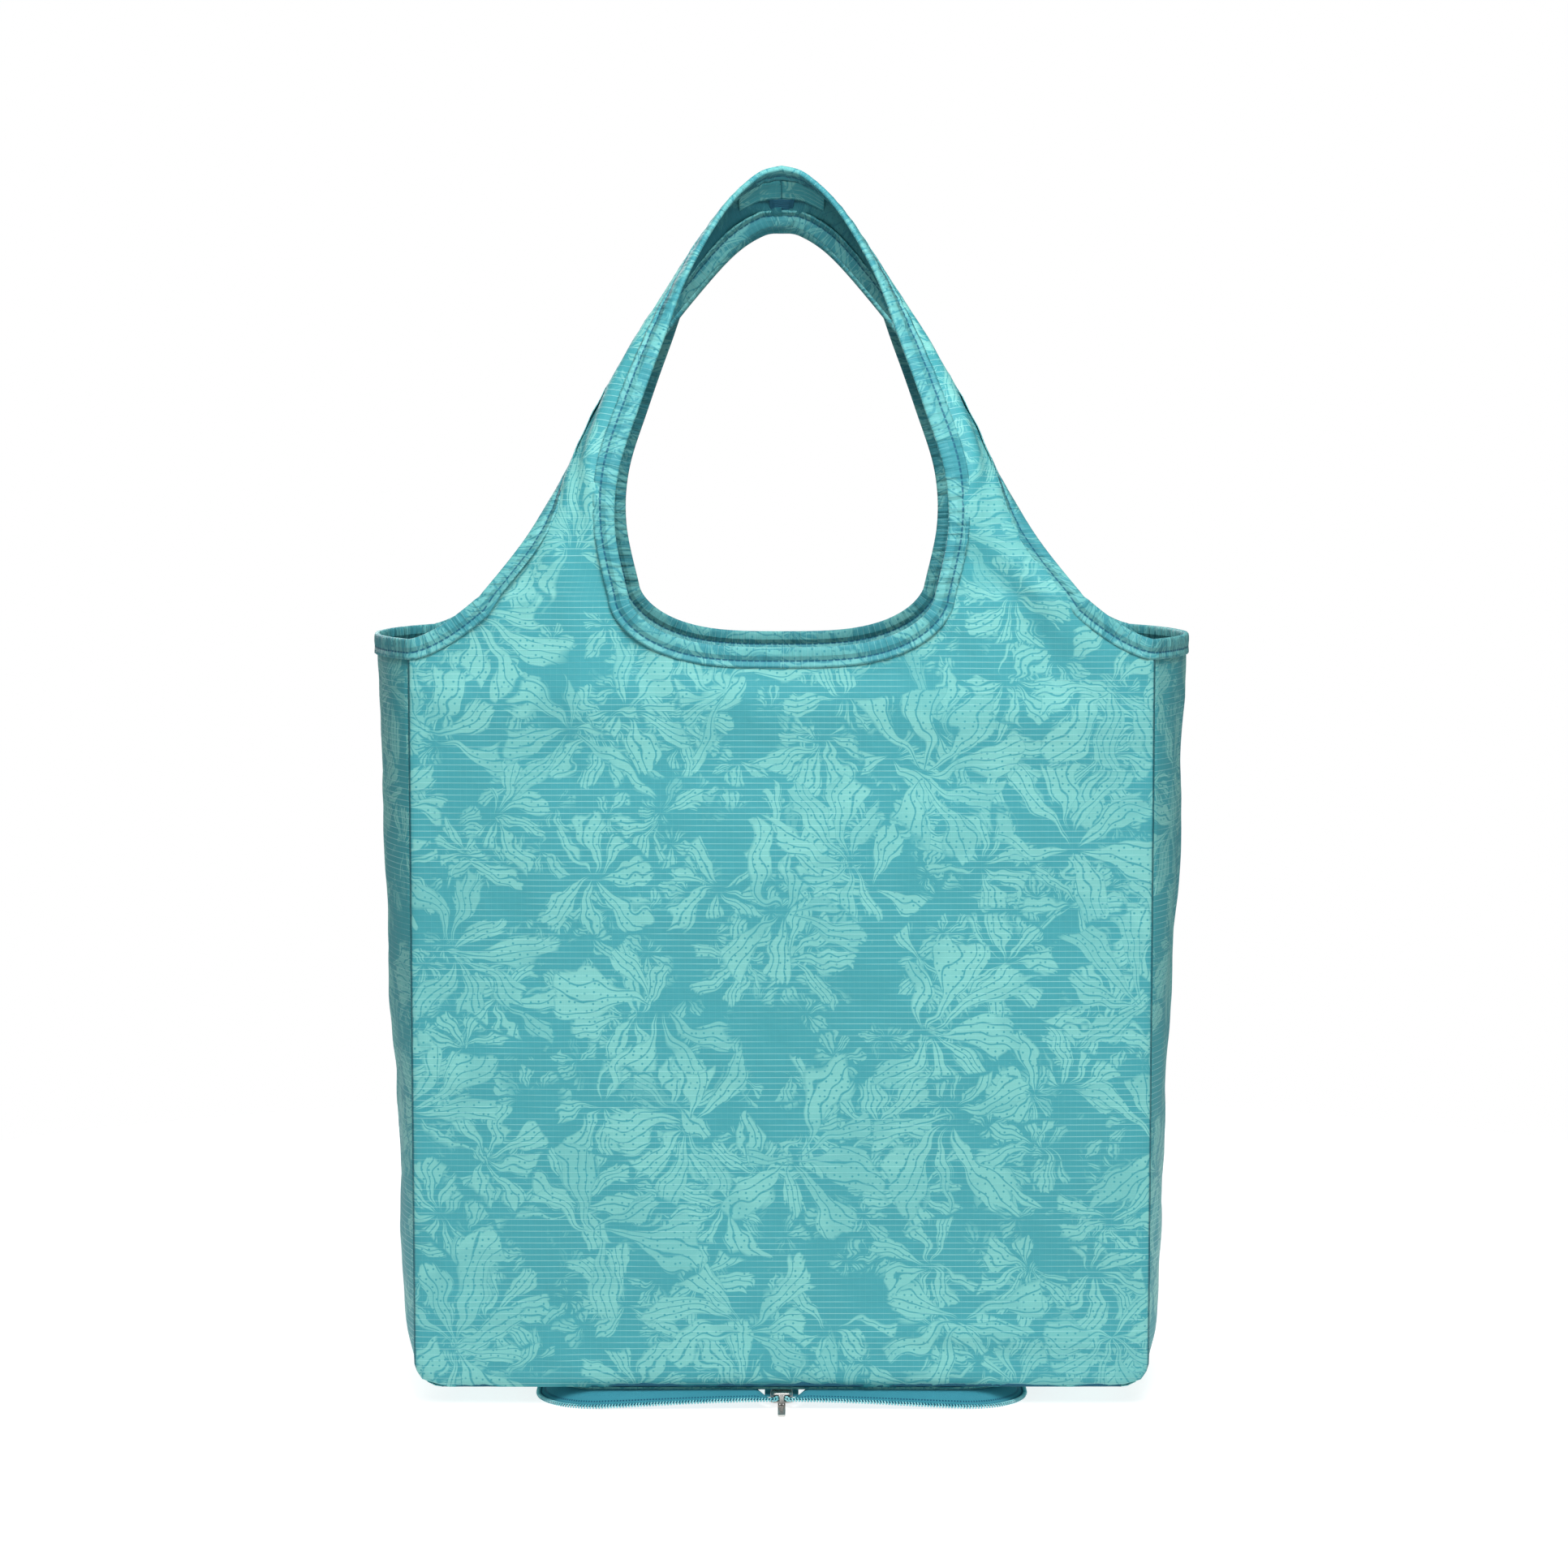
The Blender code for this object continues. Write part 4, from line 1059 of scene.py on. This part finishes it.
def zip_tape(name, side):
    """The tape from inside the coil up to the pouch's edge."""
    last = len(RING) - 1
    tail, turned = 14, 24

    def section(k, u):
        near = COIL_RADIUS * 0.35
        lift = POUCH_Z - 0.0005 - ring_at(RUNS[k])[0].z
        width = 0.0135
        if k < tail:
            return blend(near, 0.0060, u), 0.0
        if k <= turned:
            return blend(near, 0.0026, u), 0.0
        grown = ease((k - turned) / 4)
        reach = blend(0.0026, width, grown)
        bow = 0.0007 * math.sin(math.pi * u)
        return blend(near, reach, u), (lift * ease(u * 1.15) + bow) * grown

    def point(u, v):
        k = round(v * last)
        at, way = ring_at(min(RUNS[k], RUNS[-1] - 0.00001))
        a, b = section(k, u)
        return mirrored(at + way * a + Vector((0, 0, b)), side)

    def cut(u, v):
        return u * 0.0125, RUNS[round(v * last)]

    shape = grid(10, last, point, cut)
    bmesh.ops.recalc_face_normals(shape, faces=shape.faces)
    return make(name, shape, (ZIP_TAPE,), 0.0004, 0.0)


def rounded(u, v, half_x, half_y, radius):
    """A point of a rounded rectangle for u and v from -1 to 1."""
    x, y = u * half_x, v * half_y
    dx, dy = abs(x) - (half_x - radius), abs(y) - (half_y - radius)
    if dx > 0 and dy > 0:
        shrink = max(dx, dy) / math.hypot(dx, dy)
        x = math.copysign(half_x - radius + dx * shrink, x)
        y = math.copysign(half_y - radius + dy * shrink, y)
    return x, y


def pouch_cloth():
    def point(u, v):
        x, y = rounded(2 * u - 1, 2 * v - 1, POUCH_X, POUCH_Y, POUCH_CORNER)
        edge = max(abs(2 * u - 1), abs(2 * v - 1))
        sag = 0.0003 * crumple(x, y, 9.0, 0.03) * (1 - edge ** 4)
        return Vector((x, y, POUCH_Z + 0.0006 + sag))

    def cut(u, v):
        return (2 * u - 1) * POUCH_X + POUCH_CUT, (2 * v - 1) * POUCH_Y

    shape = grid(64, 40, point, cut)
    face_out(shape, Vector((0, 0, 0.25)))
    return make("pouch_cloth", shape, (OUTSIDE, SHADED_INSIDE), WALL)


def pouch_hem():
    """The strip that turns the pouch cloth's raw edge under, once round it."""
    corners = []
    for quarter, (right, rear) in enumerate(((1, 1), (-1, 1), (-1, -1), (1, -1))):
        centre = Vector((right * (POUCH_X - POUCH_CORNER), rear * (POUCH_Y - POUCH_CORNER), 0))
        for share in steps(10):
            turn = math.pi / 2 * (quarter + share)
            corners.append((centre, Vector((math.cos(turn), math.sin(turn), 0))))
    corners.append(corners[0])
    runs = [0.0]
    for (c0, w0), (c1, w1) in zip(corners, corners[1:]):
        runs.append(runs[-1] + ((c1 + w1 * POUCH_CORNER) - (c0 + w0 * POUCH_CORNER)).length)
    last = len(corners) - 1

    def point(u, v):
        centre, way = corners[round(v * last) % last]
        inset = POUCH_CORNER - POUCH_HEM * u
        bow = 0.00022 * math.sin(math.pi * u)
        return centre + way * inset + Vector((0, 0, POUCH_Z + 0.00015 - bow))

    shape = grid(6, last, point, lambda u, v: (u * POUCH_HEM + 0.0040, runs[round(v * last)]))
    bmesh.ops.recalc_face_normals(shape, faces=shape.faces)
    return make("pouch_hem", shape, (TRIM,), 0.00025, 0.0)


# ---------------------------------------------------------------- stage


def studio():
    """A pale floor, a white surround and soft lamps."""
    scene = bpy.context.scene
    scene.view_settings.view_transform = "Standard"
    camera = bpy.data.objects.new("camera", bpy.data.cameras.new("camera"))
    camera.location = (0.0012, -2.02 + MIDDLE, 0.5005)
    camera.rotation_euler = (math.radians(90 - 5.45), 0, 0)
    camera.data.lens = 90.84
    camera.data.sensor_width = 36.0
    bpy.context.collection.objects.link(camera)
    scene.camera = camera

    shape = bmesh.new()
    bmesh.ops.create_circle(shape, cap_ends=True, segments=96, radius=0.85)
    mesh = bpy.data.meshes.new("floor")
    shape.to_mesh(mesh)
    shape.free()
    floor = bpy.data.objects.new("floor", mesh)
    bpy.context.collection.objects.link(floor)
    paint = Finish("floor_paint", 0.9, Specular_IOR_Level=0.0)
    paint.set(Base_Color=(0.40, 0.40, 0.40, 1.0), Emission_Color=(1.0, 1.0, 1.0, 1.0))
    paint.set(Emission_Strength=0.80)
    mesh.materials.append(paint.material)

    world = bpy.data.worlds.new("surround")
    world.use_nodes = True
    tree = world.node_tree
    back = tree.nodes["Background"]
    back.inputs["Color"].default_value = (1.0, 1.0, 1.0, 1.0)
    seen = tree.nodes.new("ShaderNodeLightPath")
    bright = tree.nodes.new("ShaderNodeMapRange")
    bright.inputs["To Min"].default_value = 0.20
    bright.inputs["To Max"].default_value = 1.0
    tree.links.new(seen.outputs["Is Camera Ray"], bright.inputs["Value"])
    tree.links.new(bright.outputs["Result"], back.inputs["Strength"])
    scene.world = world

    sun = bpy.data.lights.new("window", "SUN")
    sun.energy = 1.1
    sun.angle = math.radians(30)
    high = bpy.data.objects.new("window", sun)
    high.rotation_euler = (math.radians(42), 0, math.radians(2))
    bpy.context.collection.objects.link(high)
    lamps = (
        ("top", (0.05, -0.60, 1.00), 0.5, 8.4),
        ("right", (1.9, -1.0, 0.5), 1.2, 2.6),
        ("back", (-0.7, 1.9, 1.1), 1.4, 22.0),
    )
    for name, spot, size, power in lamps:
        lamp = bpy.data.lights.new(name, "AREA")
        lamp.size = size
        lamp.energy = power
        holder = bpy.data.objects.new(name, lamp)
        holder.location = spot
        toward = Vector((0, 0, 0.4)) - Vector(spot)
        holder.rotation_euler = toward.to_track_quat("-Z", "Y").to_euler()
        bpy.context.collection.objects.link(holder)


# ---------------------------------------------------------------- the bag

studio()

pieces = {}
for facing, front, drop, folds, seed in (
    (-1, "front", 0.0, FRONT_FOLDS, 1.0),
    (1, "back", BACK_DROP, BACK_FOLDS, 5.0),
):
    cloth = panel_cloth(f"{front}_cloth", facing, drop, folds, seed)
    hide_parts(f"{front}_panel", f"{front}_left_strap", f"{front}_right_strap")
    neck = binding(f"{front}_neck_edge", neck_stations(facing, drop), 5.0, seed)
    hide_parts(f"{front}_neck_binding", f"{front}_handle_neck_binding")
    side = binding(f"{front}_side_edge", side_stations(facing, drop), 7.0, seed + 2)
    hand = "left" if facing < 0 else "right"
    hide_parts(f"{front}_handle_side_binding", f"{hand}_side_binding")
    for piece in (cloth, neck, side):
        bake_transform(piece)
    patch = under_strip(
        f"{front}_apex_lining", BINDING, BINDING + 0.013, 0.020, facing, drop, OUTSIDE, 0.0011
    )
    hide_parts(f"{front}_apex_patch")
    seam = under_strip(
        f"{front}_apex_seam_cloth", BINDING + 0.0128, STRAP - BINDING + 0.001, 0.0048, facing, drop,
        TAPE, 0.0010,
    )
    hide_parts(f"{front}_apex_seam")
    tack = bartack(f"{front}_tack", facing, drop)
    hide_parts(f"{front}_bartack")
    for piece in (patch, seam, tack):
        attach(piece, f"{front}_handle")
    pieces[front] = (cloth, neck, side, patch, seam, tack)

body = []
for side, hand, seed in ((-1, "left", 2.0), (1, "right", 8.0)):
    gusset = gusset_cloth(f"{hand}_gusset_cloth", side, seed)
    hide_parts(f"{hand}_gusset")
    body.append(gusset)
    coil = zip_coil(f"{hand}_zip_spiral", side)
    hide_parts(f"zip_coil_{hand}")
    tape = zip_tape(f"{hand}_zip_cloth", side)
    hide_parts(f"zip_tape_{hand}")
    body += [coil, tape]
    for front in ("front", "back"):
        strip = seam_tape(f"{front}_{hand}_seam_tape", 2)
        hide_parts(f"{front}_{hand}_seam_tape")
        body.append(strip)
    strip = seam_tape(f"{hand}_base_seam_tape", 1)
    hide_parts(f"{hand}_base_seam_tape")
    body.append(strip)
for front in ("front", "back"):
    strip = seam_tape(f"{front}_base_seam_tape", 0)
    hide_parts(f"{front}_base_seam_tape")
    body.append(strip)
base = base_cloth()
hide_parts("base_panel")
pouch = pouch_cloth()
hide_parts("pouch_panel")
hem = pouch_hem()
body += [base, pouch, hem]
for piece in body:
    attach(piece, "bag")

for finish, metal in (
    (NICKEL, ("zip_slider_body", "zip_slider_crown", "zip_bottom_stop")),
    (BRIGHT_NICKEL, ("zip_pull", "zip_top_stop_left", "zip_top_stop_right")),
):
    for name in metal:
        nodes[name].data.materials.clear()
        nodes[name].data.materials.append(finish)

for front in ("front", "back"):
    cloth, *trims = pieces[front]
